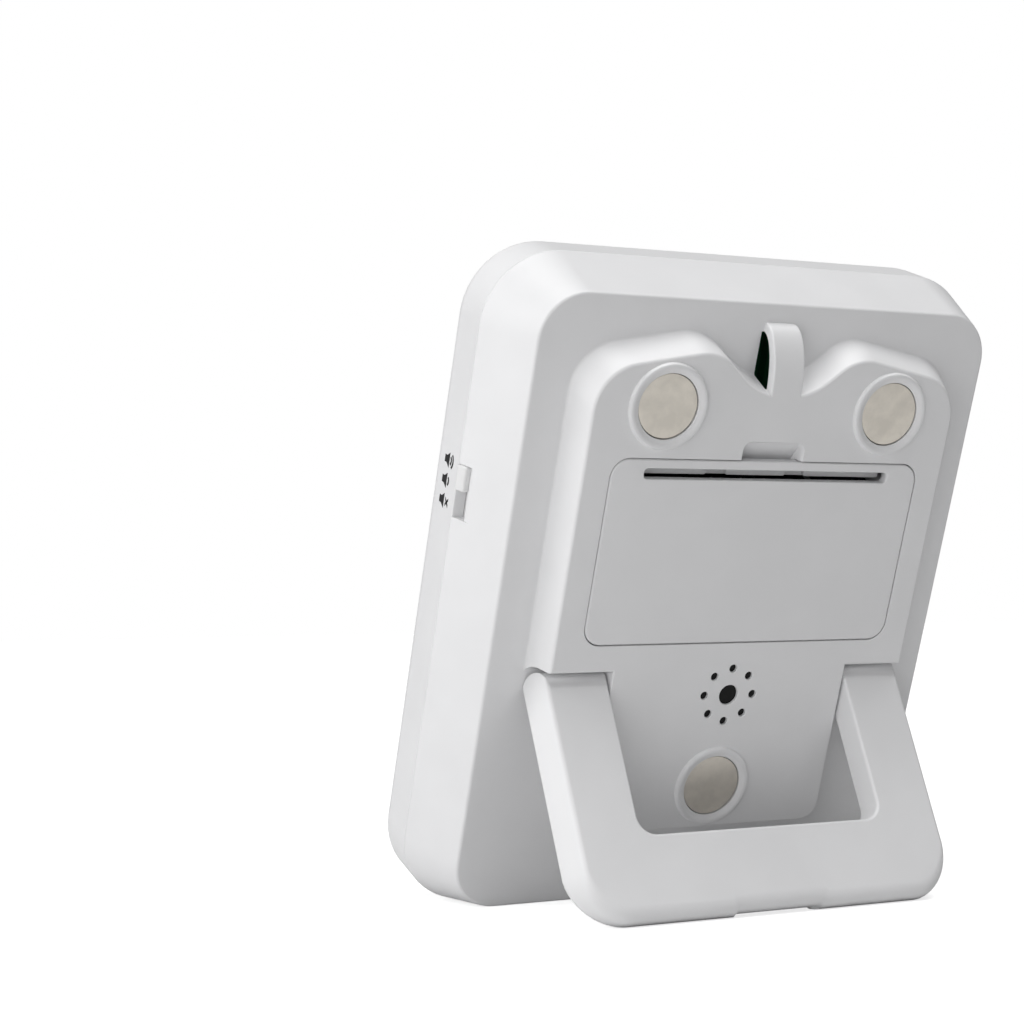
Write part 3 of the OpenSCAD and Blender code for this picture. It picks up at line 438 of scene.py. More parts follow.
class Skin:
    """Rings of points in upright millimetres, and the faces that join them."""

    def __init__(self):
        self.mesh = bmesh.new()

    def ring(self, loop, y):
        level = y if callable(y) else lambda p: y
        return [self.mesh.verts.new((p.x, level(p), p.y)) for p in loop]

    def wall(self, *rings):
        for a, b in zip(rings, rings[1:]):
            for i in range(len(a)):
                self.mesh.faces.new((a[i - 1], a[i], b[i], b[i - 1]))

    def cover(self, outer, *holes):
        """Fills the space between an outer ring and the rings of its holes."""
        rims = [outer, *holes]
        corners = [v for rim in rims for v in rim]
        spots = [Vector((v.co.x, v.co.z)) for v in corners]
        loops, edges = [], []
        for rim in rims:
            start = sum(len(loop) for loop in loops)
            loops.append([Vector((v.co.x, v.co.z)) for v in rim])
            edges += [(start + i, start + (i + 1) % len(rim)) for i in range(len(rim))]
        found = delaunay_2d_cdt(spots, edges, [], 1, SAME_SPOT)
        for face in found[2]:
            picks = [found[3][i][0] for i in face]
            centre = sum((spots[i] for i in picks), Vector((0, 0))) / len(picks)
            if sum(inside(centre, loop) for loop in loops) == 1:
                self.mesh.faces.new([corners[i] for i in picks])

    def tube(self, levels):
        """Joins rings, given as pairs of outline and y, and returns them."""
        rings = [self.ring(loop, y) for loop, y in levels]
        self.wall(*rings)
        return rings

    def solid(self, levels):
        """A tube with both ends closed."""
        rings = self.tube(levels)
        self.cover(rings[0])
        self.cover(rings[-1])

    def block(self, low, high):
        """A plain box, for what is hidden inside."""
        loop = rounded([(high[0], low[2]), (high[0], high[2]), (low[0], high[2]), (low[0], low[2])])
        self.solid((loop, y) for y in (low[1], high[1]))

    def slab(self, loop, low, high, soft_low, soft_high, crown=0.0):
        """An outline drawn out from low to high with round edges and a slightly domed end."""
        levels = soft_levels(low, high, soft_low, soft_high)
        if crown:
            rise = math.copysign(crown, high - low) / 2
            levels += [(high + rise * k, soft_high + CROWN_STEP * k) for k in (1, 2)]
        self.solid((inset(loop, depth), y) for y, depth in levels)

    def plate(self, outer, holes, levels):
        """A flat plate with holes and sharp edges, between two levels."""
        edges = [self.tube((loop, y) for y in levels) for loop in (outer, *holes)]
        for end in (0, 1):
            self.cover(*[edge[end] for edge in edges])

    def lathe(self, profile, x, z, count=48, closed=False):
        """Rings of (radius, y) about an axis along y."""
        levels = [(circle(x, z, radius, count), y) for radius, y in profile]
        return self.solid(levels) if closed else self.tube(levels)

    def loft(self, loops):
        """Joins loops of (x, y, z), the first and last of them closed by one face."""
        rings = [[self.mesh.verts.new(point) for point in loop] for loop in loops]
        self.wall(*rings)
        self.mesh.faces.new(rings[0])
        self.mesh.faces.new(rings[-1])

    def across(self, outline, low, high):
        """An outline in x and y drawn out upwards."""
        self.loft([(x, y, z) for x, y in outline] for z in (low, high))

    def rod(self, profile, y, z, count):
        """Rings of (x, radius) about an axis along x, closed at both ends."""
        self.loft([(x, y + radius * math.cos(a), z + radius * math.sin(a)) for a in round_turn(count)]
                  for x, radius in profile)

    def tidy_mesh(self, name):
        bmesh.ops.remove_doubles(self.mesh, verts=self.mesh.verts, dist=SAME_POINT)
        bmesh.ops.recalc_face_normals(self.mesh, faces=self.mesh.faces)
        mesh = bpy.data.meshes.new(name)
        self.mesh.to_mesh(mesh)
        self.mesh.free()
        return mesh


# %% Settle a piece on the table
CREASE = math.radians(38)


def plain_mesh(piece):
    """The mesh that an object's modifiers or text make. The object itself goes."""
    mesh = bpy.data.meshes.new_from_object(piece.evaluated_get(bpy.context.evaluated_depsgraph_get()))
    bpy.data.objects.remove(piece)
    return mesh


def cut_from(mesh, cutters):
    """Cuts closed shapes out of a mesh, both still in upright millimetres."""
    target = new_object("target", mesh)
    knife = new_object("knife", cutters)
    cut = target.modifiers.new("cut", "BOOLEAN")
    cut.operation = "DIFFERENCE"
    cut.solver = "EXACT"
    cut.object = knife
    result = plain_mesh(target)
    bpy.data.objects.remove(knife)
    return result


def settle(name, shape, body, slot, material, *nodes, turn=None):
    """Leans a shape onto the table, smooths its round edges and lets it ride on its body."""
    mesh = shape.tidy_mesh(name) if isinstance(shape, Skin) else shape
    mesh.transform(TO_TABLE @ turn if turn else TO_TABLE)
    if material:
        mesh.materials.append(material)
    mesh.shade_smooth()
    mesh.set_sharp_from_angle(angle=CREASE)
    rough = new_object(name + "_rough", mesh)
    weigh = rough.modifiers.new("weigh", "WEIGHTED_NORMAL")
    weigh.keep_sharp = True
    done = plain_mesh(rough)
    done.name = name
    piece = new_object(name, done)
    if body:
        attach(piece, body)
    if nodes:
        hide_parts(*nodes)
    print(name, "faces:", len(done.polygons))
    return piece

# %% [markdown]
# ## Rear shell
# The rear shell is one moulding: sloped sides, a flat back, and a raised back with two ears and
# a valley between them. Holes for the door, magnets, sound and screws go straight through, so the
# skin is built from rings with the holes left open, inside and out. Only the slot, the thumb
# scoop, the hole behind the hang loop, the hinge holes and the latch pockets are cut afterwards.

# %% Outlines of the shells
CASE_X = 45
CASE_TOP = 108
CASE_CORNER = 12
TOP_SHARE = 0.9
SIDE_WALL = 1.928
LIP = 0.16
FACE_Y = 16.5
SKIN_Y = 14.7
WEB_Y = 16.0
INNER_Y = 9.4
NOTCH_Z = 46.2
HINGE = (13.95, 42.7)
NOTCH_R = NOTCH_Z - HINGE[1]
RAISED_X = 34.4
BRIDGE_X = 21.7
BRIDGE_LOW = 18.7
SIDE_LEAN = 1.7 / RAISED_X
TOP_LEAN = 2.2 / 53.9
EAR = [(RAISED_X, 95.85, 8), (13.1, 99.75, 8), (4.8, 92.65, 12)]
EARS = EAR + [(-x, z, radius) for x, z, radius in reversed(EAR)]
MAGNETS = {"magnet_left": (20.2, 88.7), "magnet_right": (-20.2, 88.7), "magnet_lower": (0, 26)}
SOUND = (-0.1, 41.7)
SCREWS = [(-18, 8.5), (18, 8.5)]
DOOR = dict(half_x=28, low=50.7, high=80.45, radius=3)
RAISED = rounded([(RAISED_X, NOTCH_Z), *EARS, (-RAISED_X, NOTCH_Z), (-BRIDGE_X, NOTCH_Z),
                  (-BRIDGE_X, BRIDGE_LOW, 3), (BRIDGE_X, BRIDGE_LOW, 3), (BRIDGE_X, NOTCH_Z)], steps=12)


def case_loop(depth):
    """The case's outline, moved in by depth, and by a little less at the top."""
    return rectangle(CASE_X - depth, depth, CASE_TOP - TOP_SHARE * depth, CASE_CORNER - depth, steps=14)


def raised_loop(y, depth=0.0):
    """The raised back at a level: its ears and sides lean in, and the notch for the arms is round."""
    up = (y - BACK_Y) / (FACE_Y - BACK_Y)
    below = max(0.0, HINGE[0] - y)
    notch = HINGE[1] + math.sqrt(NOTCH_R ** 2 - below ** 2)
    loop = []
    for p in RAISED:
        side = p.x * (1 - SIDE_LEAN * up)
        if abs(p.y - NOTCH_Z) < SAME_POINT:
            loop.append(Vector((side if abs(p.x) > BRIDGE_X + 1 else p.x, notch)))
        elif p.y > NOTCH_Z:
            loop.append(Vector((side, NOTCH_Z + (p.y - NOTCH_Z) * (1 - TOP_LEAN * up))))
        else:
            loop.append(p.copy())
    ends = zip(loop, loop[1:] + loop[:1])
    return inset(loop, [depth if a.y + b.y > 2 * NOTCH_Z - 1 else depth / 2 for a, b in ends])


print("points round the raised back:", len(RAISED))

# %% Outside of the rear shell
QUARTER = (0, 0.4, 0.8, 1.2, math.pi / 2)
SIDE_LEVELS = (11.8, 12.2, 12.6, 13.0, 13.45, HINGE[0], 15.0)
WELL_R = 2.4
WELL_FLOOR = 5.0
DOOR_GAP = 0.14
BAY = rectangle(24.5, 54.75, 79.7, 0.6, steps=3)
BAY_TOP = 14.6
BAY_FLOOR = 3.7
SOUND_RING = 4.5
SMALL_HOLE = 0.68
MAIN_HOLE = 1.7
# A flat ring round each magnet, raised from the face and dished towards the magnet's pocket, as
# pairs of radius and y.
COLLAR = [(6.85, FACE_Y), (6.77, 16.55), (6.66, 16.86), (6.58, 17.0), (6.44, 17.08), (6.28, 17.1),
          (5.9, 17.08), (5.75, 16.96), (5.4, 16.82), (5.22, 16.74), (5.14, 16.68), (5.14, 13.8)]


def raised_levels(root=0.3, soft=0.4):
    """Pairs of y and inset, from the fillet at the root to the soft edge of the face."""
    fillet = [(BACK_Y + root * (1 - math.cos(a)), -root * (1 - math.sin(a))) for a in QUARTER]
    edge = [(FACE_Y - soft * (1 - math.sin(a)), soft * (1 - math.cos(a))) for a in QUARTER]
    return fillet + [(y, 0.0) for y in SIDE_LEVELS] + edge


def door_opening(ease):
    """The door's outline with a gap round it, wider by ease."""
    wide = DOOR_GAP + ease
    return rectangle(DOOR["half_x"] + wide, DOOR["low"] - 0.02 - wide, DOOR["high"] + 0.01 + wide,
                     DOOR["radius"] + wide)


def sound_holes():
    """The (x, z, radius) of eight small holes in a ring and a larger one in the middle."""
    x, z = SOUND
    ring = [(x + SOUND_RING * math.sin(a), z + SOUND_RING * math.cos(a), SMALL_HOLE) for a in round_turn(8)]
    return ring + [(x, z, MAIN_HOLE)]


def rear_skin():
    skin = Skin()
    profile = rounded([(SIDE_WALL, 0), (LIP, 0), (SLOPE * LIP, LIP), (BEVEL, BACK_Y, 0.6), (5.2, BACK_Y)],
                      steps=7, closed=False)
    rim = skin.tube((case_loop(p.x), p.y) for p in profile)
    raised = skin.tube((raised_loop(y, depth), y) for y, depth in raised_levels())
    well = [(WELL_R + 0.15, BACK_Y), (WELL_R, BACK_Y - 0.15), (WELL_R, WELL_FLOOR)]
    wells = [skin.lathe(well, x, z, 32) for x, z in SCREWS]
    skin.cover(rim[-1], raised[0], *[rings[0] for rings in wells])
    easing = ((0.12, FACE_Y), (0.03, FACE_Y - 0.04), (0, FACE_Y - 0.14), (0, BAY_TOP))
    door = skin.tube((door_opening(ease), y) for ease, y in easing)
    bay = skin.tube((BAY, y) for y in (BAY_TOP, BAY_FLOOR))
    skin.cover(door[-1], bay[0])
    skin.cover(bay[-1])
    collars = [skin.lathe(COLLAR, x, z, 72) for x, z in MAGNETS.values()]
    for rings in collars:
        skin.cover(rings[-1])
    holes = [skin.lathe([(r + 0.08, FACE_Y), (r, FACE_Y - 0.1), (r, WEB_Y)], x, z, 28)
             for x, z, r in sound_holes()]
    skin.cover(raised[-1], door[0], *[rings[0] for rings in collars + holes])
    inside_skin(skin, rim[0], wells, [rings[-1] for rings in holes])
    return skin


# %% Inside of the rear shell
ROOM_LOW = 43.3
ROOM_WALL = 3.6
ROOM_FOOT = ((-19.3, 47.3), (-19.3, 20.0), (19.3, 20.0), (19.3, 47.3))
DOOR_WALL = rectangle(29.6, 47.7, 82.5, 0.8, steps=3)
DOOR_WALL_Y = 13.4
BAY_WALL = rectangle(25.9, 53.35, 81.1, 0.8, steps=3)
BAY_WALL_Y = 2.3
TOWER_R = 2.8
TOWER_END = 1.2
BORE_R = 1.35
CUP_R = 5.72
CUP_Y = 13.0
WEB_R = 5.4


def room_loop():
    """The hollow under the raised back, a wall's thickness inside its outline."""
    ears = rounded([(RAISED_X, ROOM_LOW), *EARS, (-RAISED_X, ROOM_LOW)], steps=12)
    return inset(ears, ROOM_WALL) + [Vector(p) for p in ROOM_FOOT]


def inside_skin(skin, rim, wells, holes):
    ceiling = skin.ring(case_loop(SIDE_WALL + SLOPE * INNER_Y), INNER_Y)
    skin.wall(rim, ceiling)
    room = skin.tube((room_loop(), y) for y in (INNER_Y, SKIN_Y))
    towers = []
    for (x, z), well in zip(SCREWS, wells):
        tower = skin.lathe([(TOWER_R, INNER_Y), (TOWER_R, TOWER_END)], x, z, 32)
        bore = skin.lathe([(BORE_R, WELL_FLOOR), (BORE_R, TOWER_END)], x, z, 32)
        skin.cover(well[-1], bore[0])
        skin.cover(tower[-1], bore[-1])
        towers.append(tower[0])
    skin.cover(ceiling, room[0], *towers)
    door = skin.tube((DOOR_WALL, y) for y in (SKIN_Y, DOOR_WALL_Y))
    bay = skin.tube((BAY_WALL, y) for y in (DOOR_WALL_Y, BAY_WALL_Y))
    skin.cover(door[1], bay[0])
    skin.cover(bay[1])
    cups = [skin.lathe([(CUP_R, SKIN_Y), (CUP_R, CUP_Y)], x, z) for x, z in MAGNETS.values()]
    for cup in cups:
        skin.cover(cup[1])
    web = skin.lathe([(WEB_R, SKIN_Y), (WEB_R, WEB_Y)], *SOUND, 64)
    skin.cover(web[1], *holes)
    skin.cover(room[1], door[0], web[0], *[cup[0] for cup in cups])


# %% What is cut out of the rear shell
# The slot for the volume knob in (x, y), its far side eased.
SLOT = [(41.0, -0.5), (46.0, -0.5), (46.0, 4.6), (43.43, 4.6), (43.66, 3.5), (43.8, 2.1), (41.0, 2.1)]
SLOT_Z = (65.85, 74.4)
LOOP_Z = 90.5
LOOP_X = 2.65
LOOP_INNER = (3.7, 9.2)
LOOP_OUTER = (5.3, 10.7)
SCOOP = [(5.3, 79.8), (5.3, 83.3, 1.2), (-5.3, 83.3, 1.2), (-5.3, 79.8)]
TAB_X = 16
TAB_HALF = 4
LUG_X = 14
LUG_HALF = 3
POCKET_GAP = 0.3
POCKET_Y = 13.42
HINGE_HOLE = 1.62


def arch(reach, steps):
    """Points (y, z) of a quarter of an ellipse, from the raised face over to the back."""
    angles = [math.pi / 2 * k / steps for k in range(steps + 1)]
    return [(BACK_Y + reach[0] * math.cos(a), LOOP_Z + reach[1] * math.sin(a)) for a in angles]


def scoop_floor(p):
    """Flat beside the door, then rising nearly to the face."""
    return 13.4 + max(0.0, p.y - 80.6) / 2.7 * 2.45


def rear_cutters():
    skin = Skin()
    skin.across(SLOT, *SLOT_Z)
    hook_hole = [(8.0, 88.1), (14.9, 88.1), *arch(LOOP_INNER, 16), (8.0, 99.7)]
    skin.loft([(x, y, z) for y, z in hook_hole] for x in (-LOOP_X, LOOP_X))
    plan = rounded(SCOOP)
    skin.solid([(inset(plan, -0.65), 16.8), (inset(plan, -0.3), 16.45), (plan, 16.0),
                (inset(plan, 0.05), scoop_floor)])
    tab, lug = TAB_HALF + POCKET_GAP, LUG_HALF + POCKET_GAP
    for side in (-1, 1):
        skin.block((side * TAB_X - tab, POCKET_Y, 48.85), (side * TAB_X + tab, 14.68, 54.9))
        skin.block((side * LUG_X - lug, POCKET_Y, 79.15), (side * LUG_X + lug, 14.65, 80.5))
        skin.rod([(side * 18.6, HINGE_HOLE), (side * 23.0, HINGE_HOLE)], *HINGE, 24)
    return skin.tidy_mesh("rear_cutters")


rear_mesh = cut_from(rear_skin().tidy_mesh("rear_shell"), rear_cutters())
settle("rear_shell", rear_mesh, "case", "case_white", CASE_WHITE, "rear_case")

# %% [markdown]
# ## Bay ledge, painted hole shade and hang loop
# A white ledge with two gaps stands at the top of the battery bay; it shows as a grey band in the
# slit of the door. A near-black disc right behind the sound holes is painted shade, so that they
# read black. The hang loop is a flat strap that leaves the raised face, bends over and dives into
# the back, so a hook can go behind it. It is a cross-section with soft edges, swept along an ellipse.

# %% Bay ledge
LEDGE_X = 22.4
LEDGE_LOW = 77.5
LEDGE_TEETH = ((-LEDGE_X, -8.1), (-4.6, 6.3), (9.9, LEDGE_X))


def make_ledge():
    skin = Skin()
    skin.slab(rectangle(LEDGE_X, LEDGE_LOW, 79.85, 0.3, steps=3), 12.8, 13.3, 0.05, 0.05)
    for start, end in LEDGE_TEETH:
        loop = rectangle((end - start) / 2, LEDGE_LOW, 79.2, 0.3, x=(start + end) / 2, steps=3)
        skin.slab(loop, 13.25, 13.9, 0.02, 0.1)
    settle("bay_ledge", skin, "case", "case_white", CASE_WHITE)


make_ledge()


# %% Painted shade behind the sound holes
def make_hole_shade():
    skin = Skin()
    # Painted shade: a near-black disc right under the holes makes them read black.
    skin.slab(circle(*SOUND, WEB_R - 0.1), 15.4, WEB_Y - 0.04, 0.05, 0.02)
    settle("painted_hole_shade", skin, "case", "epoxy_black", HOLE_SHADE_BLACK)


make_hole_shade()

# %% Hang loop
STRAP_T = 1.6
STRAP_FLARE = 0.15
FLARE_END = 101.05
LOOP_SHIFT = -0.4


def strap_section(half_x):
    """Points (x, depth) round the strap: depth 0 is its inner face and STRAP_T its outer face."""
    return rounded([(half_x, 0, 0.15), (half_x, STRAP_T, 0.35), (-half_x, STRAP_T, 0.35), (-half_x, 0, 0.15)],
                   steps=5)


def strap_stations():
    """The outer point, the inner point and the half width at each place along the strap."""
    stations = [((16.49, z), (14.9, z), LOOP_X + STRAP_FLARE) for z in (89.9, 90.3)]
    for (y, z), inner in zip(arch(LOOP_OUTER, 32), arch(LOOP_INNER, 32)):
        over = max(0.0, z - FLARE_END)
        flare = math.sqrt(max(0.0, STRAP_FLARE ** 2 - over * over))
        stations.append(((y - 0.01, z), inner, LOOP_X + flare))
    foot = BACK_Y - 1.2
    return stations + [((foot, 101.2), (foot, 99.7), LOOP_X)]


def make_hang_loop():
    skin = Skin()
    loops = []
    for outer, inner, half_x in strap_stations():
        outer, inner = Vector(outer), Vector(inner)
        spots = [(p.x + LOOP_SHIFT, inner.lerp(outer, p.y / STRAP_T)) for p in strap_section(half_x)]
        loops.append([(x, spot.x, spot.y) for x, spot in spots])
    skin.loft(loops)
    settle("hang_loop", skin, "case", "case_white", CASE_WHITE)


make_hang_loop()

# %% [markdown]
# ## Front shell
# The front shell has straight sides and a large round edge. A recess holds the clear window, and
# each key has its own opening. It is built the same way, from rings with the holes left open.

# %% Keys' places
COLUMNS = (-23, 0, 23)
ROWS = {43.0: ("key_timer_1", "key_timer_2", "key_timer_3"), 30.5: ("key_hour", "key_minute", "key_second")}
# Each key's x, z, width and height.
KEYS = {name: (x, z, 18, 8) for z, names in ROWS.items() for name, x in zip(names, COLUMNS)}
KEYS |= {"key_clear": (-23, 17.0, 18, 10), "key_start": (11.5, 17.0, 41, 10)}
KEY_CORNER = 2.5
KEY_GAP = 0.22


def key_loop(key, spare=0.0):
    x, z, width, height = key
    half = height / 2 + spare
    return rectangle(width / 2 + spare, z - half, z + half, KEY_CORNER + spare, x=x, steps=7)


print("keys:", len(KEYS))

# %% Front shell
FRONT_Y = -9.8
LINING_Y = -8.0
SHELF_Y = -8.6
EDGE_R = 3.3
WINDOW = dict(half_x=33, low=51.5, high=97.5, radius=2.5)
WINDOW_GAP = 0.15
VIEW = rectangle(30, 54.5, 94.5, 1.0, steps=4)


def window_loop(spare):
    return rectangle(WINDOW["half_x"] + spare, WINDOW["low"] - spare, WINDOW["high"] + spare,
                     WINDOW["radius"] + spare)


def front_skin():
    skin = Skin()
    profile = rounded([(SIDE_WALL, 0), (LIP, 0), (0, -LIP), (0, FRONT_Y, EDGE_R), (3.8, FRONT_Y)],
                      steps=10, closed=False)
    rim = skin.tube((case_loop(p.x), p.y) for p in profile)
    inner = rounded([(SIDE_WALL, 0), (SIDE_WALL, LINING_Y, 1.5), (4.0, LINING_Y)], steps=6, closed=False)
    lining = [rim[0]] + [skin.ring(case_loop(p.x), p.y) for p in inner[1:]]
    skin.wall(*lining)
    easing = ((0.15, FRONT_Y), (0, FRONT_Y + 0.15), (0, SHELF_Y))
    recess = skin.tube((window_loop(WINDOW_GAP + ease), y) for ease, y in easing)
    view = skin.tube((VIEW, y) for y in (SHELF_Y, LINING_Y))
    skin.cover(recess[-1], view[0])
    easing = ((0.2, FRONT_Y), (0.06, FRONT_Y + 0.06), (0, FRONT_Y + 0.2), (0, LINING_Y))
    openings = [skin.tube((key_loop(key, KEY_GAP + ease), y) for ease, y in easing) for key in KEYS.values()]
    skin.cover(rim[-1], recess[0], *[rings[0] for rings in openings])
    skin.cover(lining[-1], view[-1], *[rings[-1] for rings in openings])
    return skin


settle("front_shell", front_skin(), "case", "case_white", CASE_WHITE, "front_case")

# %% [markdown]
# ## Battery door
# The door is a flat plate that fills its opening with an even gap. A long slit near its top lets
# the edge bend, so that two small lugs snap under the case. Two tabs below hold it in place.

# %% Battery door
SLIT_Y = 15.7
SLIT = rectangle(22.3, 77.35, 79.05, 0.7, steps=6)
SLIT_BACK = rectangle(22.6, 77.22, 79.4, 0.7, steps=6)


def make_door():
    skin = Skin()
    loop = rectangle(**DOOR)
    plate = skin.tube((inset(loop, depth), y) for y, depth in soft_levels(SKIN_Y, FACE_Y, 0.12, 0.28))
    slit = skin.tube((inset(SLIT, -depth), y) for y, depth in soft_levels(SLIT_Y, FACE_Y, 0.05, 0.2))
    back = skin.tube((SLIT_BACK, y) for y in (SKIN_Y, SLIT_Y))
    skin.cover(plate[0], back[0])
    skin.cover(back[1], slit[0])
    skin.cover(plate[-1], slit[-1])
    for side in (-1, 1):
        tab = rectangle(TAB_HALF, 49.3, 52.7, 0.5, x=side * TAB_X, steps=3)
        skin.slab(tab, 13.55, 14.55, 0.15, 0.1)
        skin.block((side * TAB_X - TAB_HALF, 14.5, 50.95), (side * TAB_X + TAB_HALF, 14.75, 52.7))
        lug = rectangle(LUG_HALF, 79.55, 80.4, 0.2, x=side * LUG_X, steps=3)
        skin.slab(lug, 14.75, 13.9, 0.02, 0.12)
    settle("battery_door_plate", skin, "battery_door", "case_white", CASE_WHITE, "battery_door")


make_door()

# %% [markdown]
# ## Stand
# The stand is a flat U with two arms and a cross bar. Its edges differ: the arm ends are round
# for the hinge, the foot is round for the table, the outer sides lean in like the raised back,
# and the window's edges are nearly sharp. Each edge of the outline gets its own inset at each
# level, so all of these run into each other.

# %% Stand
STAND_T = 5.1
STAND_LOW = FACE_Y - STAND_T
STAND_OPEN = math.radians(43.7466)
STAND_FOOT = 5.1
STAND_TOP = 45.25
STAND_INNER = (22.1, 18.1)
STAND_LEAN = 1.7
STAND_LEVELS = 30
ARM_END_R = 2.55
PIN = ((20.0, 1.2), (20.3, 1.5), (28.0, 1.5))


def stand_loop():
    """The U with a shallow notch in the middle of its foot."""
    x, z = STAND_INNER
    notch = [(-6.9, STAND_FOOT), (-6.3, 5.55), (6.3, 5.55), (6.9, STAND_FOOT)]
    return rounded([(-RAISED_X, STAND_FOOT, 8), *notch, (RAISED_X, STAND_FOOT, 8), (RAISED_X, STAND_TOP),
                    (x, STAND_TOP), (x, z, 3), (-x, z, 3), (-x, STAND_TOP), (-RAISED_X, STAND_TOP)], steps=12)


def stand_edge(a, b, normal):
    """Radius at the case side, radius at the outer side, and lean of one edge."""
    middle = (a + b) / 2
    if middle.y > STAND_TOP - 0.05:
        return ARM_END_R, ARM_END_R, 0.0
    if abs(middle.x) < STAND_INNER[0] + 0.1 and middle.y > STAND_INNER[1] - 0.1:
        return 0.4, 0.5, 0.0
    foot = max(0.0, normal.y)
    return 0.4 + 2.0 * foot, 0.6 + 1.7 * foot, STAND_LEAN * abs(normal.x)


def stand_inset(edge, up):
    near, far, lean = edge
    depth = lean * up / STAND_T
    if up < near:
        depth += near - math.sqrt(max(0.0, near ** 2 - (near - up) ** 2))
    if up > STAND_T - far:
        depth += far - math.sqrt(max(0.0, far ** 2 - (up - STAND_T + far) ** 2))
    return depth


def make_stand():
    loop = stand_loop()
    edges = [stand_edge(a, b, n) for a, b, n in zip(loop, loop[1:] + loop[:1], edge_normals(loop))]
    ups = [STAND_T / 2 * (1 - math.cos(math.pi * k / STAND_LEVELS)) for k in range(STAND_LEVELS + 1)]
    skin = Skin()
    skin.solid((inset(loop, [stand_inset(e, up) for e in edges]), STAND_LOW + up) for up in ups)
    for side in (-1, 1):
        skin.rod([(side * x, radius) for x, radius in PIN], *HINGE, 24)
    hinge = Matrix.Translation((0, *HINGE))
    turn = hinge @ Matrix.Rotation(STAND_OPEN, 4, "X") @ hinge.inverted()
    settle("stand_frame", skin, "stand", "stand_white", STAND_WHITE, "stand", turn=turn)


make_stand()

# %% [markdown]
# ## Magnets
# The magnets are plated discs in slightly wider pockets. Each one sits against one side of its
# pocket, so a thin dark line shows at the other side.

# %% Magnets
DISC = [(4.7, 13.86), (5.0, 14.1), (5.0, 16.56), (4.97, 16.6), (4.92, 16.62), (2.4, 16.62)]
DISC_SHIFT = (0.1, 0.07)


def make_magnet(name, x, z):
    skin = Skin()
    skin.lathe(DISC, x + DISC_SHIFT[0], z + DISC_SHIFT[1], 72, closed=True)
    settle(name + "_disc", skin, "case", "magnet_nickel", MAGNET_NICKEL, name)


for name, (x, z) in MAGNETS.items():
    make_magnet(name, x, z)

# %% [markdown]
# ## Volume knob and its marks
# A small slider in the edge of the rear shell sets the volume. Its face follows the slope of the
# side and stands a little proud, with soft edges. Three plain loudspeaker signs beside the slot
# show loud, soft and off.

# %% Volume knob
KNOB_Z = (70.3, 74.35)
KNOB_Y = (0.1, 2.0)
FLANGE_X = (41.2, 42.95)
FLANGE_Y = (-0.4, 2.9)
FLANGE_Z = (65.6, 79.8)


def make_knob():
    """The knob is an outline in y and z drawn out along x, on a flange behind the slot."""
    skin = Skin()
    loop = rounded([(KNOB_Y[0], KNOB_Z[0], 0.4), (KNOB_Y[1], KNOB_Z[0], 0.4),
                    (KNOB_Y[1], KNOB_Z[1], 0.4), (KNOB_Y[0], KNOB_Z[1], 0.4)], steps=5)
    skin.loft([(CASE_X - SLOPE * p.x + out, p.x, p.y) for p in inset(loop, depth)]
              for out, depth in soft_levels(-3.0, 0.4, 0.02, 0.3))
    (left, right), (near, far) = FLANGE_X, FLANGE_Y
    flange = [(left, near), (right, near), (right, 0.0), (right - SLOPE * far, far), (left, far)]
    skin.across(flange, *FLANGE_Z)
    skin.block((38.3, 0.35, 72.0), (41.3, 1.75, 73.4))
    settle("volume_slider", skin, "volume_knob", "knob_white", KNOB_WHITE, "volume_knob")


make_knob()

# %% Loudspeaker signs
INK_LIFT = 0.02
SPEAKER = [(-1.5, -0.6), (-0.85, -0.6), (0.05, -1.25), (0.05, 1.25), (-0.85, 0.6), (-1.5, 0.6)]
SIGN_Y = -3.47
SIGN_SIZE = (1.08, 0.97)
SIGN_WAVES = {73.84: 2, 70.6: 1, 67.37: 0}
WAVE_STEP = 0.62


def flat_shape(skin, points, place):
    """A thin printed shape: points in the sign's own plane, place turns them into the case."""
    skin.loft([place(u, v, lift) for u, v in points] for lift in (-INK_LIFT, INK_LIFT))


def arc_band(u, inner, outer, count=10):
    """A quarter of a flat ring, open to the left, round (u, 0)."""
    angles = [math.radians(-45 + 90 * k / count) for k in range(count + 1)]
    return ([(u + outer * math.cos(a), outer * math.sin(a)) for a in angles]
            + [(u + inner * math.cos(a), inner * math.sin(a)) for a in reversed(angles)])


def cross_bar(lean):
    """One stroke of the cross that stands for no sound."""
    start, end = -0.55 * lean, 0.55 * lean
    return [(0.45, start - 0.26), (0.45, start + 0.26), (1.45, end + 0.26), (1.45, end - 0.26)]


def make_speaker_signs():
    skin = Skin()
    for z, waves in SIGN_WAVES.items():
        place = lambda u, v, lift: (CASE_X + lift, SIGN_Y + SIGN_SIZE[0] * u, z + SIGN_SIZE[1] * v)
        strokes = [arc_band(-0.25, 0.7 + WAVE_STEP * k, 1.1 + WAVE_STEP * k) for k in range(waves)]
        for points in (SPEAKER, *(strokes or [cross_bar(-1), cross_bar(1)])):
            flat_shape(skin, points, place)
    settle("volume_signs", skin, "case", "key_grey", SIGN_INK)


make_speaker_signs()

# %% [markdown]
# ## Keys and their signs
# Each key is a cap with a soft edge and a slight crown, on a flange that keeps it in the shell.
# The signs are printed: plain numbers for the three timers, letters for hours, minutes and
# seconds, and drawn signs for clear and for start and stop.

# %% Key caps
KEY_LOOKS = {"key_clear": (KEY_GREY, "key_grey"), "key_start": (KEY_ACCENT, "key_accent")}
KEY_TOP = -10.75
KEY_CROWN = 0.15
STEM_R = 2.0
STEM_END = -5.65


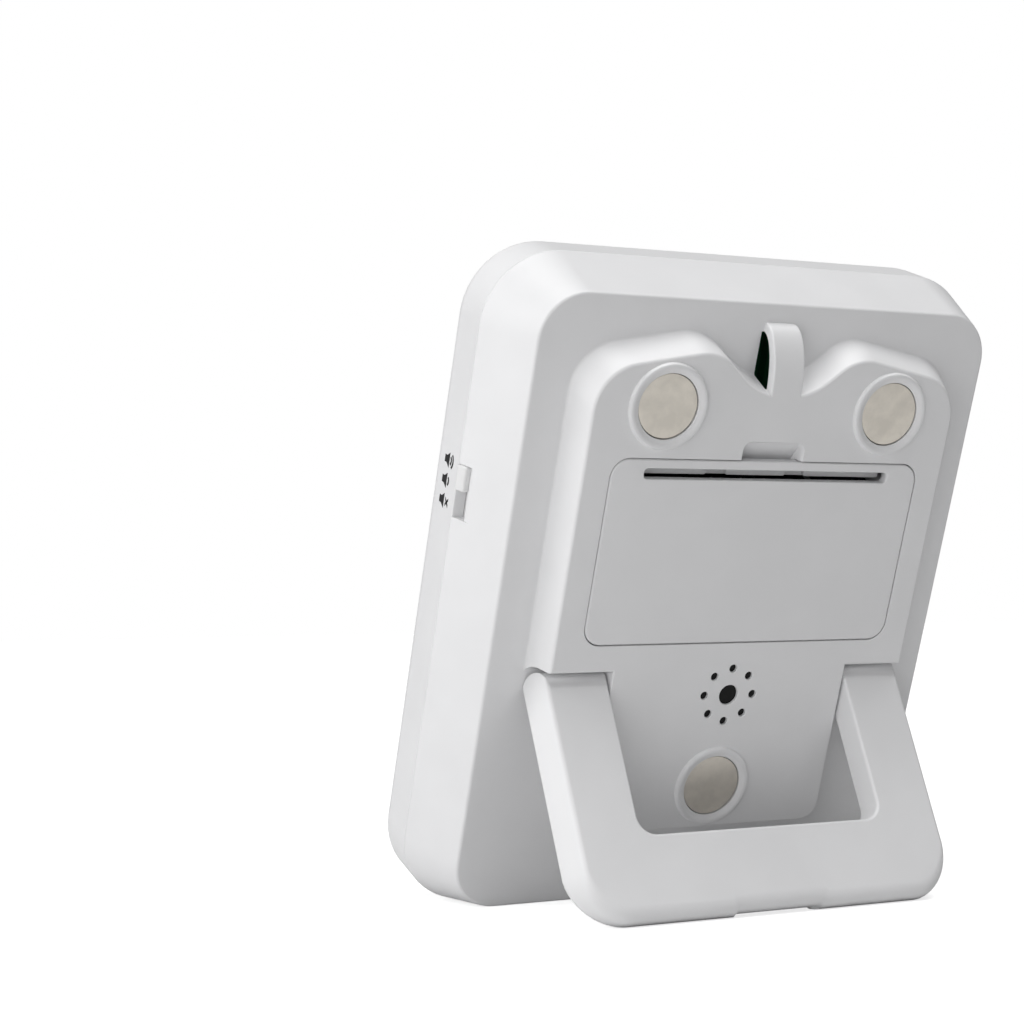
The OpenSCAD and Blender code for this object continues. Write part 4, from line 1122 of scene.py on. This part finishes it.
def make_key(name, key):
    skin = Skin()
    skin.slab(key_loop(key), -7.9, KEY_TOP, 0.02, 0.7, crown=KEY_CROWN)
    skin.slab(key_loop(key, 0.8), -7.95, -7.2, 0.05, 0.05)
    skin.lathe([(STEM_R, -7.6), (STEM_R, STEM_END)], *key[:2], 24, closed=True)
    material, slot = KEY_LOOKS.get(name, (KEY_WHITE, "key_white"))
    settle(name + "_cap", skin, name, slot, material, name)


for name, key in KEYS.items():
    make_key(name, key)

# %% [markdown]
# ## Rubber keypad
# Under the keys lies one sheet of silicone rubber with a thin dome below each stem. A pressed key
# folds its dome until the carbon pill in it meets the board. The sheet stays with the case, each
# dome is one fixed shape from the sheet up to its key, and each pill rides on its key.

# %% Rubber keypad
SHEET = rectangle(32.8, 11.2, 47.8, 2.0)
SHEET_Y = (-4.2, -3.2)
DOME_TOP = -5.6
DOME_R = 2.7
# The dome's thin wall as pairs of radius and y: its hollow first, then its outer slope.
DOME = [(2.0, -4.8), (2.35, -4.5), (DOME_R, SHEET_Y[0]),
        *[(3.2 - 0.1 * k, SHEET_Y[0] - 0.2 * k) for k in range(7)], (2.45, DOME_TOP)]
PILL_R = 1.5


def make_sheet():
    skin = Skin()
    skin.plate(SHEET, [circle(x, z, DOME_R) for x, z, _, _ in KEYS.values()], SHEET_Y)
    settle("keypad_sheet", skin, "case", "keypad_rubber", KEYPAD_RUBBER, "keypad_membrane")


def make_dome(name, x, z):
    skin = Skin()
    skin.lathe(DOME, x, z, closed=True)
    dome = settle(name + "_dome", skin, None, "keypad_rubber", KEYPAD_RUBBER)
    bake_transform(dome)
    skin = Skin()
    skin.slab(circle(x, z, PILL_R, 24), -5.5, -4.25, 0.02, 0.1)
    settle(name + "_pill", skin, name, "keypad_rubber", EPOXY)


make_sheet()
for name, (x, z, _, _) in KEYS.items():
    make_dome(name, x, z)

# %% Printed signs
KEY_TEXT = dict(zip(KEYS, "123HMSC"))
TEXT_HEIGHT = 3.4
CAPITAL_SHARE = 0.7
PRINT_Y = KEY_TOP - KEY_CROWN
PALE_SIGNS = ("key_clear", "key_start")
# A triangle for start and two bars for stop.
START_STOP = [[(-4.2, -2.1), (-0.4, 0.0), (-4.2, 2.1)]]
START_STOP += [[(u, -2.0), (u + 1.1, -2.0), (u + 1.1, 2.0), (u, 2.0)] for u in (1.0, 3.1)]


def on_front(x, y, z):
    """Turns a flat drawing to the front of the case, where it reads from the front."""
    return Matrix.Translation((x, y, z)) @ Matrix.Rotation(math.radians(90), 4, "X")


def letter_mesh(text):
    """A number or letter as a flat mesh in the plane of u and v, centred."""
    curve = bpy.data.curves.new("letter", "FONT")
    curve.body = text
    curve.size = TEXT_HEIGHT / CAPITAL_SHARE
    curve.align_x = "CENTER"
    curve.align_y = "CENTER"
    curve.extrude = INK_LIFT
    curve.resolution_u = 6
    mesh = plain_mesh(new_object("letter", curve))
    bpy.data.curves.remove(curve)
    return mesh


def make_sign(name, x, z):
    if name in KEY_TEXT:
        sign = letter_mesh(KEY_TEXT[name])
        sign.transform(on_front(x, PRINT_Y, z))
    else:
        sign = Skin()
        for points in START_STOP:
            flat_shape(sign, points, lambda u, v, lift: (x + u, PRINT_Y - lift, z + v))
    settle(name + "_sign", sign, name, "key_grey", KEY_WHITE if name in PALE_SIGNS else SIGN_INK)


for name, (x, z, _, _) in KEYS.items():
    make_sign(name, x, z)

# %% [markdown]
# ## Window and display
# The window is a clear plate with a grey printed border on its back. Behind it the display shows
# three rows, one for each timer. Every number is made of the same slim six-sided bar, so Geometry
# Nodes place one bar on many points, each with its own turn and size.

# %% Window
BORDER_HOLE = rectangle(29.6, 54.9, 94.1, 1.0, steps=4)


def make_window():
    skin = Skin()
    skin.slab(window_loop(0), -8.72, -9.7, 0.08, 0.18)
    settle("window_plate", skin, "case", "clear_window", LENS_CLEAR, "display_lens")
    skin = Skin()
    skin.plate(window_loop(-0.1), [BORDER_HOLE], (-8.71, -8.66))
    settle("window_border", skin, "case", "frame_white", MASK_PRINT)


make_window()


# %% A tree that places one bar on many points
def new_tree(name, inputs):
    """A tree for meshes, the outputs of its source node, and its last node."""
    tree = bpy.data.node_groups.new(name, "GeometryNodeTree")
    tree.interface.new_socket("Geometry", in_out="INPUT", socket_type="NodeSocketGeometry")
    for label, kind in inputs.items():
        tree.interface.new_socket(label, in_out="INPUT", socket_type=kind)
    tree.interface.new_socket("Geometry", in_out="OUTPUT", socket_type="NodeSocketGeometry")
    return tree, add(tree, "NodeGroupInput").outputs, add(tree, "NodeGroupOutput")


def finish_tree(tree, geometry, source, sink):
    """Every tree ends alike: instances made real, then the finish."""
    real = add(tree, "GeometryNodeRealizeInstances", {"Geometry": geometry}).outputs["Geometry"]
    paint = add(tree, "GeometryNodeSetMaterial", {"Geometry": real, "Material": source["Material"]})
    fill_in(sink, {"Geometry": paint.outputs["Geometry"]})


def grow(tree, base, values):
    """Runs a tree on a mesh with the given inputs and returns the plain mesh that it makes."""
    host = new_object("host", base)
    run = host.modifiers.new("grow", "NODES")
    run.node_group = tree
    for item in tree.interface.items_tree:
        if item.in_out == "INPUT" and item.name in values:
            run[item.identifier] = values[item.name]
    return plain_mesh(host)


def bar_tree():
    tree, source, sink = new_tree("display_bars", {"Thickness": "NodeSocketFloat",
                                                   "Material": "NodeSocketMaterial"})
    flat = add(tree, "GeometryNodeMeshCircle", {"Vertices": 6, "Radius": 1.0}, fill_type="NGON")
    lift = {"Mesh": flat.outputs["Mesh"], "Offset Scale": source["Thickness"]}
    bar = add(tree, "GeometryNodeExtrudeMesh", lift, mode="FACES").outputs["Mesh"]
    place = {"Points": source["Geometry"], "Instance": bar}
    for label, end in (("turn", "Rotation"), ("size", "Scale")):
        field = add(tree, "GeometryNodeInputNamedAttribute", {"Name": label}, data_type="FLOAT_VECTOR")
        place[end] = field.outputs["Attribute"]
    finish_tree(tree, add(tree, "GeometryNodeInstanceOnPoints", place).outputs["Instances"], source, sink)
    return tree


# %% Digits on the display
# The lit bars of each digit: a to f run clockwise from the top, g is in the middle.
BARS = {"0": "abcdef", "1": "bc", "2": "abdeg", "3": "abcdg", "4": "bcfg", "5": "acdfg", "6": "acdefg",
        "7": "abc", "8": "abcdefg", "9": "abcdfg"}
# Each bar's place in half widths and quarter heights, and whether it stands upright.
BAR_SPOTS = {"a": (0, 2, False), "b": (1, 1, True), "c": (1, -1, True), "d": (0, -2, False),
             "e": (-1, -1, True), "f": (-1, 1, True), "g": (0, 0, False)}
DIGIT_WIDTH = 0.52
BAR_WIDTH = 0.0713
BAR_SHARE = 0.93
SLANT = 0.08
UPRIGHT = math.radians(85.4)
# Each row's z, the timer's number, its hours and minutes, and its seconds.
DISPLAY_ROWS = ((87.4, "1", "0145", "00"), (74.5, "2", "1020", "30"), (61.6, "3", "0005", "10"))
CLOCK_X = (-17.0, -9.2, 1.4, 9.2)
SECONDS_X = (17.4, 23.0)
MARK_X = -25.4
COLON_X = -3.9
BAR_DEPTH = 0.03
BAR_Y = -7.83


def digit_bars(symbol, u, v, height):
    """The place, turn and size of each lit bar of one digit."""
    across, up = height * DIGIT_WIDTH / 2, height / 4
    bars = []
    for name in BARS[symbol]:
        du, dv, upright = BAR_SPOTS[name]
        place = (u + du * across + SLANT * dv * up, v + dv * up, 0)
        length = (up if upright else across) * BAR_SHARE
        bars.append((place, (0, 0, UPRIGHT if upright else 0), (length, height * BAR_WIDTH, 1)))
    return bars


def display_bars():
    bars = []
    for z, mark, clock, seconds in DISPLAY_ROWS:
        bars += digit_bars(mark, MARK_X, z - 2.6, 3.6)
        for x, symbol in zip(CLOCK_X, clock):
            bars += digit_bars(symbol, x, z, 9.0)
        for dv in (-1.6, 1.6):
            bars.append(((COLON_X + SLANT * dv, z + dv, 0), (0, 0, 0), (0.5, 0.5, 1)))
        for x, symbol in zip(SECONDS_X, seconds):
            bars += digit_bars(symbol, x, z - 1.4, 6.2)
    return bars


def make_display():
    bars = display_bars()
    points = bpy.data.meshes.new("bar_points")
    points.from_pydata([bar[0] for bar in bars], [], [])
    for k, name in ((1, "turn"), (2, "size")):
        field = points.attributes.new(name, "FLOAT_VECTOR", "POINT")
        field.data.foreach_set("vector", [v for bar in bars for v in bar[k]])
    mesh = grow(bar_tree(), points, {"Thickness": BAR_DEPTH, "Material": SEGMENT_INK})
    mesh.transform(on_front(0, BAR_Y, 0))
    settle("display_digits", mesh, "case", "epoxy_black", None)
    print("bars on the display:", len(bars))


make_display()

# %% [markdown]
# ## Cells, springs and wires
# Under the door lie two AAA cells, with coiled springs at their flat ends. Wires run from the
# contacts and the buzzer to the board. Springs and wires follow a path, so trees draw them: a
# spiral that narrows for the spring, and a bent line for each wire, both with a round section.

# %% Cells
CELL_Y = 9.15
CELL_LENGTH = 44.5
CELL_TIP = 23.8
UPPER_Z = 71.3
LOWER_Z = 60.3
# Pairs of the run along the cell and its radius there.
CELL = [(0, 3.6), (0.12, 3.9), (0.12, 4.55), (0, 4.7), (0.1, 5.05), (0.45, 5.25), (43.0, 5.25), (43.5, 5.1),
        (43.65, 4.7), (43.55, 4.3), (43.5, 2.2), (43.6, 1.95), (44.35, 1.9), (CELL_LENGTH, 1.7)]
# Where each tone of the jacket starts, as a share of the length.
JACKET = {0.0: (0.42, 0.42, 0.43), 0.04: (0.02, 0.021, 0.024), 0.70: (0.38, 0.39, 0.40),
          0.73: (0.05, 0.052, 0.056), 0.965: (0.05, 0.05, 0.05), 0.98: (0.5, 0.5, 0.5)}


def cell_material():
    """A printed jacket: dark, with a bright band near the tip that shows which way it goes."""
    material, tree, shader = new_material("cell_jacket")
    run = add(tree, "ShaderNodeAttribute", attribute_name="run").outputs["Fac"]
    ramp = add(tree, "ShaderNodeValToRGB", {"Fac": run})
    ramp.color_ramp.interpolation = "CONSTANT"
    stops = ramp.color_ramp.elements
    while len(stops) < len(JACKET):
        stops.new(0.5)
    for stop, (position, tone) in zip(stops, JACKET.items()):
        stop.position = position
        stop.color = (*tone, 1)
    fill_in(shader, {"Base Color": ramp.outputs["Color"], "Metallic": 0.75})
    gloss_between(tree, shader, grain(tree, 0.5), (0.2, 0.32), depth_mm=0.004, strength=0.3)
    return material


CELL_JACKET = cell_material()


def make_cell(name, z, way):
    """A cell lying along x, its tip towards way."""
    start = CELL_TIP - CELL_LENGTH
    skin = Skin()
    skin.rod([(way * (start + run), radius) for run, radius in CELL], CELL_Y, z, 48)
    mesh = skin.tidy_mesh(name)
    field = mesh.attributes.new("run", "FLOAT", "POINT")
    field.data.foreach_set("value", [(v.co.x * way - start) / CELL_LENGTH for v in mesh.vertices])
    settle(name + "_can", mesh, "case", "cell_jacket", CELL_JACKET, name)


make_cell("cell_upper", UPPER_Z, -1)
make_cell("cell_lower", LOWER_Z, 1)


# %% A tree that draws a tube
def tube_tree(name, path_kind, socket, ends, sides):
    """A path with a round section. ends gives the path's own name for each input of the tree."""
    inputs = dict.fromkeys(ends, socket) | {"Radius": "NodeSocketFloat", "Material": "NodeSocketMaterial"}
    tree, source, sink = new_tree(name, inputs)
    route = {end: source[label] for label, end in ends.items()}
    path = add(tree, path_kind, route | {"Resolution": 32}).outputs["Curve"]
    ring = {"Radius": source["Radius"], "Resolution": sides}
    section = add(tree, "GeometryNodeCurvePrimitiveCircle", ring).outputs["Curve"]
    sweep = {"Curve": path, "Profile Curve": section, "Fill Caps": True}
    finish_tree(tree, add(tree, "GeometryNodeCurveToMesh", sweep).outputs["Mesh"], source, sink)
    return tree


# %% Springs
SPRING_ENDS = {"Turns": "Rotations", "Wide": "Start Radius", "Narrow": "End Radius", "Length": "Height"}
SPRING = {"Turns": 2.5, "Wide": 3.4, "Narrow": 2.0, "Length": 2.75, "Radius": 0.3, "Material": SPRING_NICKEL}
SPRING_X = 23.78
coil = tube_tree("contact_spring", "GeometryNodeCurveSpiral", "NodeSocketFloat", SPRING_ENDS, sides=10)


def make_spring(name, z, end):
    mesh = grow(coil, bpy.data.meshes.new("empty"), SPRING)
    inward = Matrix.Rotation(math.radians(-90 * end), 4, "Y")
    mesh.transform(Matrix.Translation((end * SPRING_X, CELL_Y, z)) @ inward)
    settle(name + "_coil", mesh, "case", "spring_nickel", None, name)


make_spring("spring_link", LOWER_Z, -1)
make_spring("spring_negative", UPPER_Z, 1)

# %% Wires
WIRE_ENDS = {"Start": "Start", "Leave": "Start Handle", "Arrive": "End Handle", "End": "End"}
WIRE_R = 0.5
BOARD_Y = -1.98
WIRE_LOOKS = {"wire_red": WIRE_RED, "wire_black": WIRE_BLACK}
bent = tube_tree("board_wire", "GeometryNodeCurvePrimitiveBezierSegment", "NodeSocketVector", WIRE_ENDS,
                 sides=16)


def make_wire(name, slot, start, leave, end, arrive):
    """A wire from start to end. leave and arrive say how far its bend follows each end."""
    start, leave, end, arrive = (Vector(v) for v in (start, leave, end, arrive))
    mesh = grow(bent, bpy.data.meshes.new("empty"), {
        "Start": start, "Leave": start + leave, "Arrive": end + arrive, "End": end,
        "Radius": WIRE_R, "Material": WIRE_LOOKS[slot]})
    settle(name + "_lead", mesh, "case", slot, None, name)


for name, slot, z, run in (("wire_positive", "wire_red", LOWER_Z, -3),
                           ("wire_negative", "wire_black", UPPER_Z, 3)):
    make_wire(name, slot, (24.52, 1.6, z), (4, 0, 0), (30.5, BOARD_Y, z + run), (0, 4, 0))
for name, slot, x, y in (("wire_buzzer_plate", "wire_black", 6.2, 13.04),
                         ("wire_buzzer_ceramic", "wire_red", -2.6, 12.84)):
    bow = (y + 2) / 2
    make_wire(name, slot, (x, y, SOUND[1]), (0, -bow, 0), (x, BOARD_Y, SOUND[1] - bow), (0, bow, 0))

# %% [markdown]
# ## What stays as it came
# The board and the small parts inside keep their solids. Each still gets the finish of the real
# part, so that it looks right when the case is opened.

# %% Finishes for the solids
SOLIDS = {
    "lcd_panel": LCD_GLASS, "lcd_frame": FRAME_WHITE, "zebra_upper": ZEBRA, "zebra_lower": ZEBRA,
    "main_board": BOARD_GREEN, "controller_blob": EPOXY, "crystal": CAN_STEEL, "volume_switch": SWITCH_STEEL,
    "buzzer_plate": BRASS, "buzzer_ceramic": CERAMIC, "contact_link": CONTACT_NICKEL,
    "contact_negative": CONTACT_NICKEL, "contact_positive": CONTACT_NICKEL,
    "board_screws": SCREW_STEEL, "case_screws": SCREW_STEEL,
}
for name, material in SOLIDS.items():
    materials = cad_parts[name].data.materials
    materials.clear()
    materials.append(material)
print("solids finished:", len(SOLIDS))
